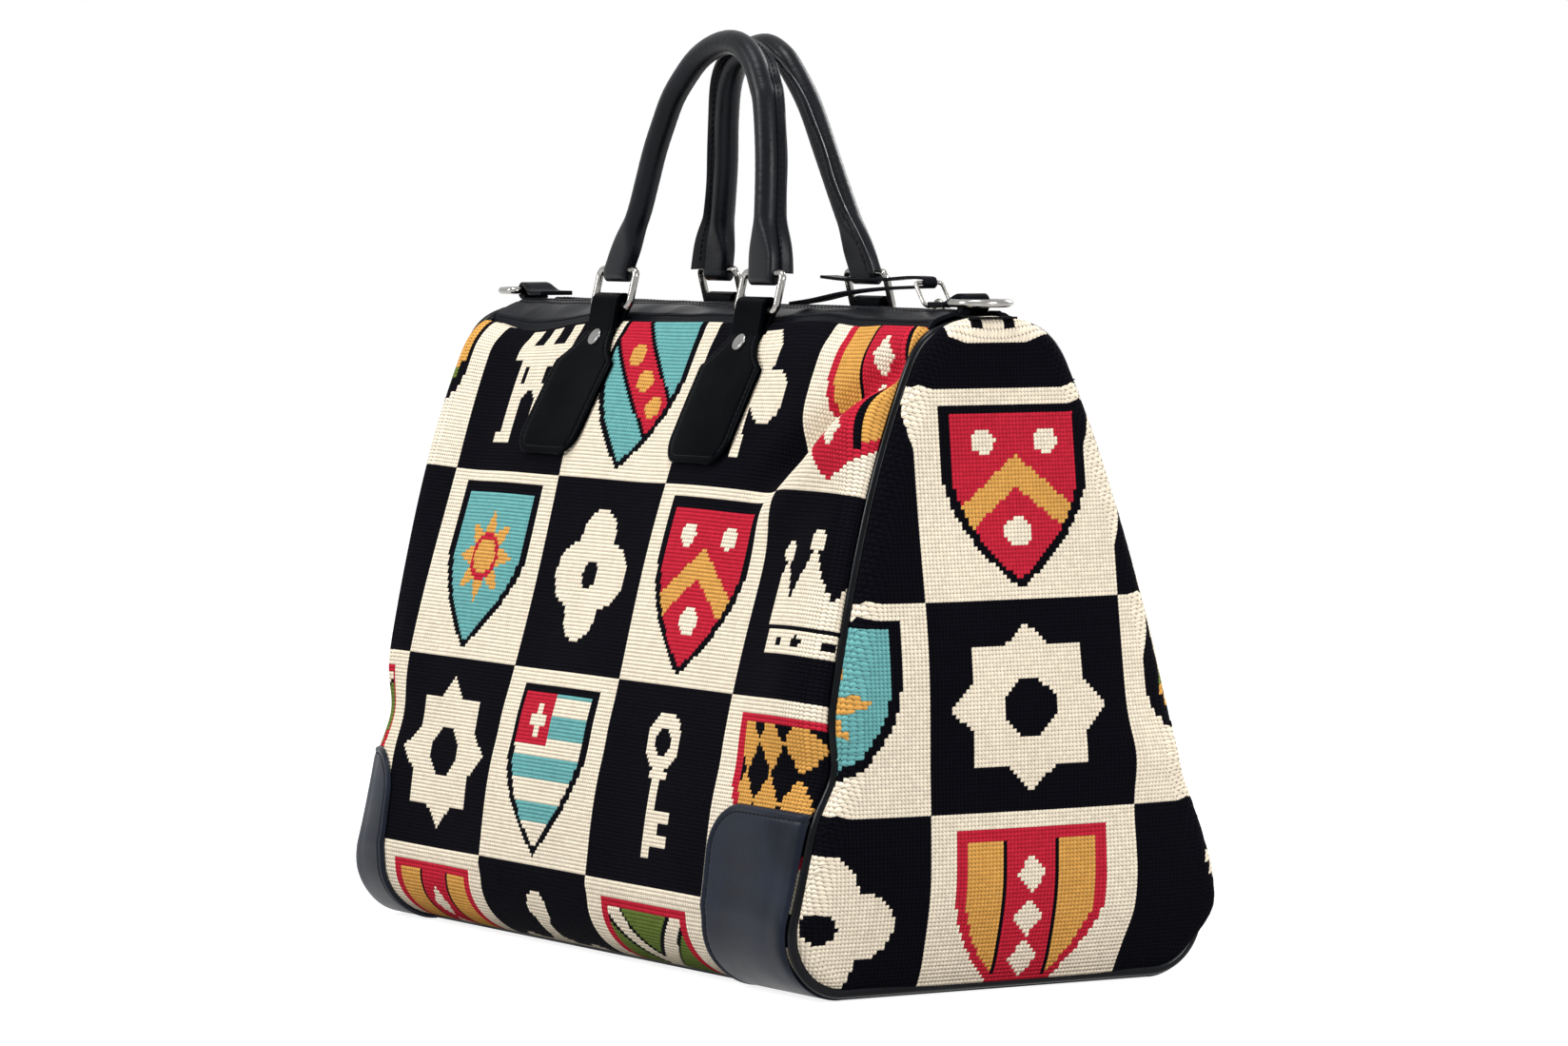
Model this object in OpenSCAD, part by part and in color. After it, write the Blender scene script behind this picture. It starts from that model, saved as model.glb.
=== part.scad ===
// Needlepoint weekender bag with A-shaped ends, leather trim and rolled handles hung on wire rings.
// Millimetres, +Z up, the front faces -Y, and the origin is under the middle of the base.

/* [Bag] */
// Length from end seam to end seam
bag_l = 460; // [400:1:540]
// Depth across the base
bag_d = 246; // [210:1:290]
// Height of the closed mouth
bag_h = 336; // [290:1:390]
// Radius of the long base edges
base_r = 32; // [24:1:40]
// Thickness of the backed and lined canvas
wall_t = 3.6; // [2.6:0.2:4.6]
// How far the front and back swell
side_swell = 12; // [4:1:18]
// How far the ends swell
end_swell = 18; // [4:1:24]
// Radius of the piping in the end seams
piping_r = 3; // [2.4:0.1:4]
// Gap left between two sewn pieces
sewn_gap = 0.3; // [0.2:0.05:0.5]
// How far the mouth has settled toward the left end
mouth_shift = 22; // [0:1:30]

/* [Leather trim] */
// Thickness of the strips beside the zip
facing_t = 2.2; // [1.6:0.1:3]
// Thickness of the corner patches
patch_t = 1.6; // [1.2:0.1:1.8]
// Length of a corner patch along the base
patch_l = 76; // [50:1:100]
// Radius of a patch's free corner
patch_r = 26; // [12:1:36]
// Thickness of the base sheet
base_t = 2.4; // [1.6:0.1:3.4]
// Thickness of the board that stiffens the base
board_t = 2.6; // [1.6:0.1:3.4]

/* [Handle tabs] */
// Distance between the two tabs of one handle
handle_w = 150; // [130:1:180]
// Width of a tab's paddle
paddle_w = 60; // [46:1:70]
// Thickness of a tab, two layers sewn together
tab_t = 2.8; // [2:0.1:3.4]
// Radius of the paddle's lower corners
paddle_r = 14; // [8:1:18]
// Radius of a rivet's head
rivet_r = 4.7; // [3.6:0.1:5.6]
// Height of a rivet's head
rivet_h = 2.2; // [1.4:0.1:3]

/* [Rings and handles] */
// Width of a ring between wire centres
ring_w = 38; // [34:1:44]
// Height of a ring between wire centres
ring_h = 20; // [18:0.5:26]
// Radius of the ring's wire
wire_r = 2; // [1.6:0.1:2.4]
// Radius of the ring's corners at the wire centre
ring_corner = 3.5; // [2.8:0.1:4.2]
// Play between leather and the wire it goes round
loop_gap = 0.3; // [0.2:0.05:0.5]
// Thickness of leather round a wire
loop_t = 2.6; // [2:0.1:3]
// Radius of the rolled handle
handle_r = 7.5; // [6:0.1:9]
// Height of the handle above the rings
handle_h = 124; // [115:1:150]
// Width of the stitched edge along the handle
flange_w = 4; // [2:0.2:5]
// Thickness of that edge
flange_t = 2.8; // [2:0.1:3.6]

/* [Zip] */
// How far the row of teeth stops short of each end seam
zip_short = 31; // [30:0.5:36]
// Distance from tooth to tooth on one side
tooth_pitch = 4; // [3.6:0.1:5]
// Height of a tooth
tooth_h = 3.6; // [3:0.1:4.2]
// Length of the slider
slider_l = 16; // [14:0.5:20]
// Width of the slider
slider_w = 11; // [10.4:0.1:13]
// Length of the leather pull
pull_l = 100; // [70:1:115]
// Width of the leather pull
pull_w = 12; // [9:0.5:14]
// Thickness of one layer of the pull
pull_t = 1.6; // [1.2:0.1:1.8]
// Radius of the small wires at the zip
small_wire_r = 1.1; // [0.9:0.05:1.3]

/* [D-rings] */
// Width of a D-ring between wire centres
dee_w = 28; // [26:0.5:32]
// Length of a D-ring between wire centres
dee_l = 22; // [20:0.5:28]
// Width of the end tab that holds it
end_tab_w = 20; // [18:0.5:21]
// How far the end tab reaches past the zip
end_tab_l = 25; // [20:1:30]

/* [Hidden] */
$fn = 32;
half_l = bag_l / 2;
half_d = bag_d / 2;
// how deep the cloth lies inside the outer line of the piping
seam_in = piping_r - wall_t / 4 + sewn_gap / 3;
cloth_edge = 2 * piping_r + sewn_gap;
cloth_x = half_l - cloth_edge;
mouth_x = -mouth_shift;
zip_l = bag_l - 2 * zip_short;
cut_over = piping_r / 3;

// End outline: a base corner turned by this angle, then two curves set as shares of half depth and height
base_turn = 106;
side_shares = [[0.835, 0.320], [0.755, 0.626], [0.397, 0.917]];
top_shares = [[0.317, 0.984], [0.175, 1], [0, 1]];
base_c = [half_d - base_r, base_r];
turn_end = base_c + base_r * [cos(base_turn - 90), sin(base_turn - 90)];
side_curve = concat([turn_end], [for (s = side_shares) [half_d * s[0], bag_h * s[1]]]);
top_curve = concat([side_curve[3]], [for (s = top_shares) [half_d * s[0], bag_h * s[1]]]);

function bez(p, t) = pow(1 - t, 3) * p[0] + 3 * t * pow(1 - t, 2) * p[1]
    + 3 * t * t * (1 - t) * p[2] + pow(t, 3) * p[3];
function bez_dir(p, t) = pow(1 - t, 2) * (p[1] - p[0]) + 2 * t * (1 - t) * (p[2] - p[1])
    + t * t * (p[3] - p[2]);
// The half outline runs 0 to 1 round the base corner, 1 to 2 up the side and 2 to 3 over the top
function outline(k) = k < 1 ? base_c + base_r * [sin(base_turn * k), -cos(base_turn * k)]
    : k < 2 ? bez(side_curve, k - 1) : bez(top_curve, k - 2);
function along(k) = k < 1 ? [cos(base_turn * k), sin(base_turn * k)]
    : k < 2 ? bez_dir(side_curve, k - 1) : bez_dir(top_curve, k - 2);
function outward(k) = [along(k)[1], -along(k)[0]] / norm(along(k));
function skin(k, off) = outline(k) + outward(k) * off;

// Rows of the front cloth from the base seam to the top edge
corner_rows = 5;
side_rows = 11;
top_rows = 2;
top_edge_share = 2.4;
rows = concat([for (i = [0:corner_rows]) i / corner_rows], [for (i = [1:side_rows]) 1 + i / side_rows],
    [for (i = [1:top_rows]) 2 + (top_edge_share - 2) * i / top_rows]);
columns = 20;
swell_from_share = 0.3;
swell_to_share = 1.8;
function swell_up(k) = k <= swell_from_share || k >= swell_to_share ? 0
    : pow(sin(180 * (k - swell_from_share) / (swell_to_share - swell_from_share)), 1.5);
function swell(x, k) = side_swell * (1 - pow(abs(x / cloth_x), 4)) * swell_up(k);
function front(x, k, off) = let (p = skin(k, swell(x, k) - seam_in + off)) [x, -p[0], p[1]];

// A closed sheet between an outer and an inner grid of points
module sheet(a, b) {
    n = len(a);
    m = len(a[0]);
    o = n * m;
    up = [for (i = [0:n - 2], j = [0:m - 2]) each [
        [i * m + j, (i + 1) * m + j + 1, i * m + j + 1],
        [i * m + j, (i + 1) * m + j, (i + 1) * m + j + 1]]];
    down = [for (f = up) [f[0] + o, f[2] + o, f[1] + o]];
    low = [for (j = [0:m - 2]) each [[j, j + 1, j + 1 + o], [j, j + 1 + o, j + o]]];
    t = (n - 1) * m;
    high = [for (j = [0:m - 2]) each [
        [t + j + 1, t + j, t + j + o], [t + j + 1, t + j + o, t + j + 1 + o]]];
    left = [for (i = [0:n - 2]) each [
        [(i + 1) * m, i * m, i * m + o], [(i + 1) * m, i * m + o, (i + 1) * m + o]]];
    e = m - 1;
    right = [for (i = [0:n - 2]) each [
        [i * m + e, (i + 1) * m + e, (i + 1) * m + e + o],
        [i * m + e, (i + 1) * m + e + o, i * m + e + o]]];
    polyhedron(concat([for (r = a) each r], [for (r = b) each r]),
        concat(up, down, low, high, left, right));
}

// A flat profile in the end view, drawn with half depth and height, run along the length
module along_x(points, from, to) {
    translate([from, 0, 0]) rotate([90, 0, 90]) linear_extrude(to - from) polygon(points);
}

module rod_x(r, from, to) {
    translate([from, 0, 0]) rotate([0, 90, 0]) cylinder(r = r, h = to - from);
}

module rod_y(r, length) {
    rotate([90, 0, 0]) cylinder(r = r, h = length, center = true);
}

// Needlepoint

module front_cloth() {
    xs = [for (j = [0:columns]) cloth_x * (2 * j / columns - 1)];
    sheet([for (k = rows) [for (x = xs) front(x, k, 0)]],
        [for (k = rows) [for (x = xs) front(x, k, -wall_t)]]);
}

module front_panel() {
    color("gainsboro") front_cloth();
}

module back_panel() {
    color("gainsboro") mirror([0, 1, 0]) front_cloth();
}

end_columns = 12;
end_last_share = 2.93;
end_corner_rows = 4;
end_side_rows = 9;
end_top_rows = 4;
end_rows = concat([for (i = [0:end_corner_rows]) i / end_corner_rows],
    [for (i = [1:end_side_rows]) 1 + i / end_side_rows],
    [for (i = [1:end_top_rows]) 2 + (end_last_share - 2) * i / end_top_rows]);
function dome(v, z) = end_swell * (1 - pow(abs(v), 2.5)) * sin(180 * pow(z / bag_h, 0.6));
function end_point(k, v, depth) = let (p = skin(k, -cloth_edge))
    [half_l - seam_in - depth + dome(v, p[1]), p[0] * v, p[1]];

module right_end_cloth() {
    vs = [for (j = [0:end_columns]) 2 * j / end_columns - 1];
    sheet([for (k = end_rows) [for (v = vs) end_point(k, v, 0)]],
        [for (k = end_rows) [for (v = vs) end_point(k, v, wall_t)]]);
}

module right_end_panel() {
    color("gainsboro") right_end_cloth();
}

module left_end_panel() {
    color("gainsboro") mirror([1, 0, 0]) right_end_cloth();
}

// Leather

pipe_sides = 8;
pipe_corner_rows = 4;
pipe_side_rows = 10;
pipe_top_rows = 5;
pipe_half = concat([for (i = [0:pipe_corner_rows]) i / pipe_corner_rows],
    [for (i = [1:pipe_side_rows]) 1 + i / pipe_side_rows],
    [for (i = [1:pipe_top_rows]) 2 + i / pipe_top_rows]);
pipe_line = concat([for (k = pipe_half) [skin(k, -piping_r), outward(k)]],
    [for (i = [len(pipe_half) - 2:-1:0]) let (k = pipe_half[i], p = skin(k, -piping_r), n = outward(k))
        [[-p[0], p[1]], [-n[0], n[1]]]]);

module right_cord() {
    n = len(pipe_line);
    m = pipe_sides;
    points = [for (s = pipe_line) for (j = [0:m - 1]) let (a = 360 * (j + 0.5) / m)
        [half_l - piping_r + piping_r * sin(a), s[0][0] + piping_r * cos(a) * s[1][0],
            s[0][1] + piping_r * cos(a) * s[1][1]]];
    faces = [for (i = [0:n - 1], j = [0:m - 1]) let (a = i * m + j, b = i * m + (j + 1) % m,
        c = (i + 1) % n * m + (j + 1) % m, d = (i + 1) % n * m + j) each [[a, b, c], [a, c, d]]];
    polyhedron(points, faces);
}

module right_piping() {
    color("dimgray") right_cord();
}

module left_piping() {
    color("dimgray") mirror([1, 0, 0]) right_cord();
}

// A corner patch lies on the cloth and follows its swell
patch_height_share = 0.23;
patch_row_shares = [0.3, 0.55, 0.74, 0.87, 0.96, 1];
patch_rows = concat([for (i = [0:corner_rows]) i / corner_rows],
    [for (s = patch_row_shares) 1 + patch_height_share * s]);
patch_gap = sewn_gap * 1.6;
patch_top = outline(patch_rows[len(patch_rows) - 1])[1];
patch_columns = 6;
function patch_from(z) = let (d = max(0, patch_r - (patch_top - z)))
    cloth_x - patch_l + patch_r - sqrt(max(0, patch_r * patch_r - d * d));
function patch_grid(off) = [for (k = patch_rows) let (a = patch_from(outline(k)[1]))
    [for (j = [0:patch_columns]) front(a + (cloth_x - a) * j / patch_columns, k, off)]];

module front_right_corner() {
    sheet(patch_grid(patch_gap + patch_t), patch_grid(patch_gap));
}

module front_right_patch() {
    color("dimgray") front_right_corner();
}

module front_left_patch() {
    color("dimgray") mirror([1, 0, 0]) front_right_corner();
}

module back_right_patch() {
    color("dimgray") mirror([0, 1, 0]) front_right_corner();
}

module back_left_patch() {
    color("dimgray") mirror([1, 0, 0]) mirror([0, 1, 0]) front_right_corner();
}

base_y = base_c[0] - sewn_gap;

module base_panel() {
    color("dimgray") translate([-cloth_x, -base_y, 0]) cube([2 * cloth_x, 2 * base_y, base_t]);
}

module base_board() {
    x = cloth_x - 2 * wall_t;
    y = base_y - 2 * wall_t;
    color("tan") translate([-x, -y, base_t + sewn_gap]) cube([2 * x, 2 * y, board_t]);
}

// Strips beside the zip, from the top edge of the cloth to the open slot
facing_in = wall_t * 0.1;
facing_step_share = 0.015;
facing_from_share = top_edge_share + facing_step_share;
facing_to_share = 2.87;
facing_steps = 5;
facing_run_share = facing_to_share - facing_from_share;
facing_ks = [for (i = [0:facing_steps]) facing_from_share + facing_run_share * i / facing_steps];
facing_edge = skin(facing_to_share, -facing_in - facing_t);

module back_strip() {
    along_x(concat([for (k = facing_ks) skin(k, -facing_in)],
        [for (i = [facing_steps:-1:0]) skin(facing_ks[i], -facing_in - facing_t)]), -cloth_x, cloth_x);
}

module back_zip_facing() {
    color("dimgray") back_strip();
}

module front_zip_facing() {
    color("dimgray") mirror([0, 1, 0]) back_strip();
}

// Zip

tape_t = facing_t / 2;
tape_share = 2.76;
tape_top = skin(tape_share, -facing_in - facing_t)[1] - sewn_gap;
tooth_y = tooth_h * 0.62;
tape_y = tooth_y + sewn_gap;
tape_w = facing_edge[0] + 2 * facing_t;
tooth_top = tape_top - tape_t / 2 + tooth_h / 2;
tooth_l = tooth_pitch * 0.4;
tooth_reach = tooth_h * 0.3;
tooth_count = floor(zip_l / tooth_pitch);
zip_from = mouth_x - zip_l / 2;
zip_to = mouth_x + zip_l / 2;

module back_tape() {
    bottom = tape_top - tape_t;
    translate([-cloth_x, tape_y, bottom]) cube([2 * cloth_x, tape_w - tape_y, tape_t]);
    translate([zip_to + sewn_gap, sewn_gap / 2, bottom])
        cube([cloth_x - zip_to - sewn_gap, tape_y, tape_t]);
}

module back_zip_tape() {
    color("black") back_tape();
}

module front_zip_tape() {
    color("black") mirror([0, 1, 0]) back_tape();
}

module tooth_row(first) {
    for (i = [0:tooth_count - 1])
        translate([zip_from + first + i * tooth_pitch, -tooth_reach, tooth_top - tooth_h])
            cube([tooth_l, tooth_reach + tooth_y, tooth_h]);
}

module back_zip_teeth() {
    color("silver") tooth_row(sewn_gap);
}

module front_zip_teeth() {
    color("silver") mirror([0, 1, 0]) tooth_row(sewn_gap + tooth_pitch / 2);
}

// The slider rides over the closed teeth between two flanges
slider_t = tooth_h * 0.45;
slider_x = zip_to - slider_l / 2 + tooth_pitch / 2;
slider_z = tooth_top + loop_gap;
slider_top = slider_z + slider_t;
lug_r = slider_l * 0.25;
pull_pin_z = slider_top + small_wire_r + loop_gap;
puller_turn = 50;
puller_l = pull_w * 1.25;
puller_w = pull_w + 3 * small_wire_r + 2 * loop_gap;

module zip_slider() {
    color("silver") translate([slider_x, 0, slider_z]) {
        difference() {
            intersection() {
                translate([-slider_l / 2, -slider_w / 2, -tooth_h * 0.35])
                    cube([slider_l, slider_w, tooth_h * 0.35 + slider_t]);
                translate([-slider_l * 0.1, 0, -tooth_h]) cylinder(r = slider_l * 0.62, h = 2 * tooth_h);
            }
            translate([-slider_l, -tape_y - loop_gap, -tooth_h])
                cube([2 * slider_l, 2 * tape_y + 2 * loop_gap, tooth_h]);
        }
        translate([0, 0, slider_t]) rotate([90, 0, 0]) rotate_extrude(angle = 180)
            translate([lug_r, 0]) circle(small_wire_r);
    }
}

// A rounded wire link, its first bar on the X axis and its second bar above it
module link(w, h, corner, r) {
    x = w / 2 - corner;
    rod_x(r, -x, x);
    translate([0, 0, h]) rod_x(r, -x, x);
    for (s = [-1, 1]) translate([s * w / 2, 0, corner]) cylinder(r = r, h = h - 2 * corner);
    for (s = [-1, 1], t = [0, 1]) translate([s * x, 0, t ? h - corner : corner])
        mirror([s < 0 ? 1 : 0, 0, 0]) mirror([0, 0, t ? 0 : 1]) rotate([90, 0, 0])
            rotate_extrude(angle = 90) translate([corner, 0]) circle(r);
}

module zip_puller() {
    color("silver") translate([slider_x, 0, pull_pin_z]) rotate([0, -90 + puller_turn, 0])
        rotate([0, 0, 90]) link(puller_w, puller_l, 2 * small_wire_r, small_wire_r);
}

strap_x = slider_x - puller_l * cos(puller_turn);
strap_z = pull_pin_z + puller_l * sin(puller_turn);
strap_in = small_wire_r + loop_gap;
upper_l = pull_l * 0.93;

module zip_pull_strap() {
    color("dimgray") translate([strap_x, 0, strap_z]) difference() {
        union() {
            rod_y(strap_in + pull_t, pull_w);
            translate([-upper_l, -pull_w / 2, strap_in]) cube([upper_l, pull_w, pull_t]);
            translate([-pull_l, -pull_w / 2, -strap_in - pull_t]) cube([pull_l, pull_w, pull_t]);
        }
        rod_y(strap_in, pull_w + 2 * cut_over);
        translate([-pull_l - cut_over, -pull_w / 2 - cut_over, -strap_in])
            cube([pull_l + cut_over, pull_w + 2 * cut_over, 2 * strap_in]);
    }
}

// End tabs fold round the bars of the D-rings
end_tab_z = bag_h + sewn_gap;
dee_bar_z = end_tab_z + wire_r + loop_gap;
dee_loop_r = wire_r + loop_gap + loop_t;
// the loop is narrower than the tab, so that it dips between the strips beside the zip
dee_loop_w = 2 * facing_edge[0] - 4 * sewn_gap;

module end_tab() {
    translate([mouth_x + zip_l / 2, 0, 0]) difference() {
        union() {
            translate([sewn_gap, -end_tab_w / 2, end_tab_z])
                cube([end_tab_l - dee_loop_r, end_tab_w, loop_t]);
            translate([end_tab_l / 2, -dee_loop_w / 2, end_tab_z])
                cube([end_tab_l / 2 - dee_loop_r + loop_t / 2, dee_loop_w, loop_t]);
            translate([end_tab_l, 0, dee_bar_z]) rod_y(dee_loop_r, dee_loop_w);
        }
        translate([end_tab_l, 0, dee_bar_z]) rod_y(wire_r + loop_gap, end_tab_w + 2 * cut_over);
    }
}

module right_end_tab() {
    color("dimgray") end_tab();
}

module left_end_tab() {
    color("dimgray") translate([2 * mouth_x, 0, 0]) mirror([1, 0, 0]) end_tab();
}

dee_corner = dee_w * 0.12;

module dee() {
    y = dee_w / 2 - dee_corner;
    leg = dee_l - dee_w / 2 - dee_corner;
    translate([mouth_x + zip_l / 2 + end_tab_l, 0, dee_bar_z]) {
        rod_y(wire_r, 2 * y);
        for (s = [-1, 1]) {
            translate([dee_corner, s * y, 0]) mirror([0, s < 0 ? 1 : 0, 0]) rotate([0, 0, 90])
                rotate_extrude(angle = 90) translate([dee_corner, 0]) circle(wire_r);
            translate([0, s * dee_w / 2, 0]) rod_x(wire_r, dee_corner, dee_corner + leg);
        }
        translate([dee_corner + leg, 0, 0]) rotate([0, 0, -90])
            rotate_extrude(angle = 180) translate([dee_w / 2, 0]) circle(wire_r);
    }
}

module right_d_ring() {
    color("silver") dee();
}

module left_d_ring() {
    color("silver") translate([2 * mouth_x, 0, 0]) mirror([1, 0, 0]) dee();
}

// Handle tabs: a paddle on the cloth, and a neck that goes round the ring's lower bar

bar_out = loop_t + loop_gap + wire_r;
bar_off = bar_out + 2 * sewn_gap - facing_in;
bar_share = 2.42;
bar = skin(bar_share, bar_off);
neck_w = ring_w - 2 * wire_r - 1.6 * wire_r;
paddle_from_share = 1.82;
paddle_shoulder_share = 2.06;
neck_rivet_share = 2.13;
strip_to_share = 2.37;
web_share = 2.22;
web_turn = 20;
tab_steps = 9;
paddle_run_share = strip_to_share - paddle_from_share;
paddle_ks = [for (i = [0:tab_steps]) paddle_from_share + paddle_run_share * i / tab_steps];
function tab_skin(k, off) = skin(k, swell(0, k) - seam_in + sewn_gap + off);
shoulder_z = tab_skin(paddle_shoulder_share, tab_t)[1];
paddle_z = tab_skin(paddle_from_share, 0)[1];
rivet_at = tab_skin(neck_rivet_share, tab_t);
rivet_turn = atan2(outward(neck_rivet_share)[1], outward(neck_rivet_share)[0]);
shank_r = rivet_r / 2;

module at_rivet() {
    translate([0, rivet_at[0], rivet_at[1]]) rotate([-90 + rivet_turn, 0, 0]) children();
}

module back_tab() {
    strip = concat([for (k = paddle_ks) tab_skin(k, 0)],
        [for (i = [tab_steps:-1:0]) tab_skin(paddle_ks[i], tab_t)]);
    web = [tab_skin(web_share, tab_t / 2), tab_skin(strip_to_share, tab_t / 2), bar,
        bar + bar_out * [cos(web_turn), sin(web_turn)], tab_skin(web_share, tab_t)];
    difference() {
        union() {
            intersection() {
                along_x(strip, -paddle_w / 2, paddle_w / 2);
                rotate([90, 0, 0]) translate([0, 0, -half_d - tab_t]) linear_extrude(half_d + tab_t)
                    union() {
                        for (s = [-1, 1], z = [paddle_z + paddle_r, shoulder_z - paddle_r])
                            translate([s * (paddle_w / 2 - paddle_r), z]) circle(paddle_r);
                        translate([-paddle_w / 2 + paddle_r, paddle_z])
                            square([paddle_w - 2 * paddle_r, shoulder_z - paddle_z]);
                        translate([-paddle_w / 2, paddle_z + paddle_r])
                            square([paddle_w, shoulder_z - paddle_z - 2 * paddle_r]);
                        translate([-neck_w / 2, paddle_z + paddle_r]) square([neck_w, bag_h - paddle_z]);
                    }
            }
            along_x(web, -neck_w / 2, neck_w / 2);
            translate([0, bar[0], bar[1]]) rod_x(bar_out, -neck_w / 2, neck_w / 2);
        }
        translate([0, bar[0], bar[1]])
            rod_x(wire_r + loop_gap, -neck_w / 2 - cut_over, neck_w / 2 + cut_over);
        at_rivet() translate([0, 0, -tab_t - cut_over])
            cylinder(r = shank_r + loop_gap / 3, h = tab_t + 2 * cut_over);
    }
}

module back_rivet() {
    head = rivet_h;
    ball = (rivet_r * rivet_r + head * head) / (2 * head);
    at_rivet() {
        translate([0, 0, loop_gap / 6]) intersection() {
            translate([0, 0, head - ball]) sphere(r = ball);
            cylinder(r = 2 * rivet_r, h = ball);
        }
        translate([0, 0, -tab_t]) cylinder(r = shank_r, h = tab_t + head / 2);
    }
}

module place(side, hand) {
    translate([mouth_x + hand * handle_w / 2, 0, 0]) mirror([0, side < 0 ? 1 : 0, 0]) children();
}

module front_left_tab() {
    color("dimgray") place(-1, -1) back_tab();
}

module front_right_tab() {
    color("dimgray") place(-1, 1) back_tab();
}

module back_left_tab() {
    color("dimgray") place(1, -1) back_tab();
}

module back_right_tab() {
    color("dimgray") place(1, 1) back_tab();
}

module front_left_rivet() {
    color("silver") place(-1, -1) back_rivet();
}

module front_right_rivet() {
    color("silver") place(-1, 1) back_rivet();
}

module back_left_rivet() {
    color("silver") place(1, -1) back_rivet();
}

module back_right_rivet() {
    color("silver") place(1, 1) back_rivet();
}

// Rings lean inward from the tabs, and the handles lean a little less

ring_turn = 14;
handle_turn = 7;
top_bar = bar + ring_h * [-sin(ring_turn), cos(ring_turn)];

module back_ring() {
    translate([0, bar[0], bar[1]]) rotate([ring_turn, 0, 0]) link(ring_w, ring_h, ring_corner, wire_r);
}

module front_left_ring() {
    color("silver") place(-1, -1) back_ring();
}

module front_right_ring() {
    color("silver") place(-1, 1) back_ring();
}

module back_left_ring() {
    color("silver") place(1, -1) back_ring();
}

module back_right_ring() {
    color("silver") place(1, 1) back_ring();
}

// A rolled handle: two straight legs, a half-round arch, and ends flattened round the rings
arch_r = handle_w / 2;
leg_l = handle_h - arch_r;
end_r = wire_r + loop_gap + loop_t;
end_w = neck_w;
flat_l = 2.2 * end_r;
join_l = 6 * end_r;

module arch() {
    translate([0, 0, leg_l]) rotate([90, 0, 0]) rotate_extrude(angle = 180, $fn = 72) children();
}

module legs() {
    for (s = [-1, 1]) translate([s * arch_r, 0, 0]) children();
}

module rolled(r) {
    arch() translate([arch_r, 0]) circle(r);
    legs() translate([0, 0, join_l]) cylinder(r = r, h = leg_l - join_l);
}

module back_roll() {
    difference() {
        union() {
            rolled(handle_r);
            arch() translate([arch_r - flange_t / 2, 0]) square([flange_t, handle_r + flange_w]);
            legs() {
                translate([-flange_t / 2, -handle_r - flange_w, join_l])
                    cube([flange_t, handle_r + flange_w, leg_l - join_l]);
                rod_x(end_r, -end_w / 2, end_w / 2);
                translate([-end_w / 2, -end_r, 0]) cube([end_w, 2 * end_r, flat_l]);
                hull() {
                    translate([-end_w / 2, -end_r, flat_l - cut_over]) cube([end_w, 2 * end_r, cut_over]);
                    translate([0, 0, join_l]) cylinder(r = handle_r, h = cut_over, $fn = 24);
                }
            }
        }
        legs() rod_x(wire_r + loop_gap, -end_w, end_w);
    }
}

module lean_handle() {
    translate([0, top_bar[0], top_bar[1]]) rotate([handle_turn, 0, 0]) children();
}

module back_handle() {
    color("dimgray") place(1, 0) lean_handle() back_roll();
}

module front_handle() {
    color("dimgray") place(-1, 0) lean_handle() back_roll();
}

front_panel();
back_panel();
left_end_panel();
right_end_panel();
base_panel();
base_board();
left_piping();
right_piping();
front_left_patch();
front_right_patch();
back_left_patch();
back_right_patch();
front_zip_facing();
back_zip_facing();
front_zip_tape();
back_zip_tape();
front_zip_teeth();
back_zip_teeth();
zip_slider();
zip_puller();
zip_pull_strap();
left_end_tab();
right_end_tab();
left_d_ring();
right_d_ring();
front_left_tab();
front_right_tab();
back_left_tab();
back_right_tab();
front_left_rivet();
front_right_rivet();
back_left_rivet();
back_right_rivet();
front_left_ring();
front_right_ring();
back_left_ring();
back_right_ring();
front_handle();
back_handle();
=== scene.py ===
import bpy
import math
import numpy as np
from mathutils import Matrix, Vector


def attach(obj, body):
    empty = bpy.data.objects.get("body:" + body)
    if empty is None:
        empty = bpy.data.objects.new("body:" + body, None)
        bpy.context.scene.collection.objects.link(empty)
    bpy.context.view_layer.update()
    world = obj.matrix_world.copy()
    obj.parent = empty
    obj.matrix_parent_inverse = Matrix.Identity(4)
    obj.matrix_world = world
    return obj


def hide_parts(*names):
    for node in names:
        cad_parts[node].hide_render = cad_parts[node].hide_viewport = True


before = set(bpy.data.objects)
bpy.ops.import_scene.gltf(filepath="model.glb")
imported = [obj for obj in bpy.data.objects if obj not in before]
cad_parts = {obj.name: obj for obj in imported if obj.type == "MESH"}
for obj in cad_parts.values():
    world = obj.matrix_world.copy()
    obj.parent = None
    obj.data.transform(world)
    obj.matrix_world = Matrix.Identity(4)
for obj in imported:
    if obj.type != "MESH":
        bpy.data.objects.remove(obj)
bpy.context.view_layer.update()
mm = 0.001
print("stage: frame loaded with", len(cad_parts), "nodes")

# the bag's form in millimetres: one end outline that the panels, piping and trim all follow
form = {
    "halfDepth": 123.0, "height": 336.0, "baseRadius": 32.0, "baseTurn": 106.0,
    "sideShares": ((0.835, 0.320), (0.755, 0.626), (0.397, 0.917)),
    "topShares": ((0.317, 0.984), (0.175, 1.0), (0.0, 1.0)),
    "seamIn": 2.2, "clothX": 223.7, "mouthX": -22.0, "tabApart": 75.0,
    "sideSwell": 12.0, "swellFromK": 0.3, "swellRunK": 1.5, "pinch": 6.5, "pinchZ": 113.0, "pinchWide": 17.0,
}
sides = (("front", -1), ("back", 1))
tabX = (form["mouthX"] - form["tabApart"], form["mouthX"] + form["tabApart"])
shareScale = np.array([form["halfDepth"], form["height"]])
baseCentre = np.array([form["halfDepth"] - form["baseRadius"], form["baseRadius"]])
turnEnd = math.radians(form["baseTurn"] - 90.0)
sideCurve = np.array([baseCentre + form["baseRadius"] * np.array([math.cos(turnEnd), math.sin(turnEnd)])]
                     + [shareScale * s for s in form["sideShares"]])
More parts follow.
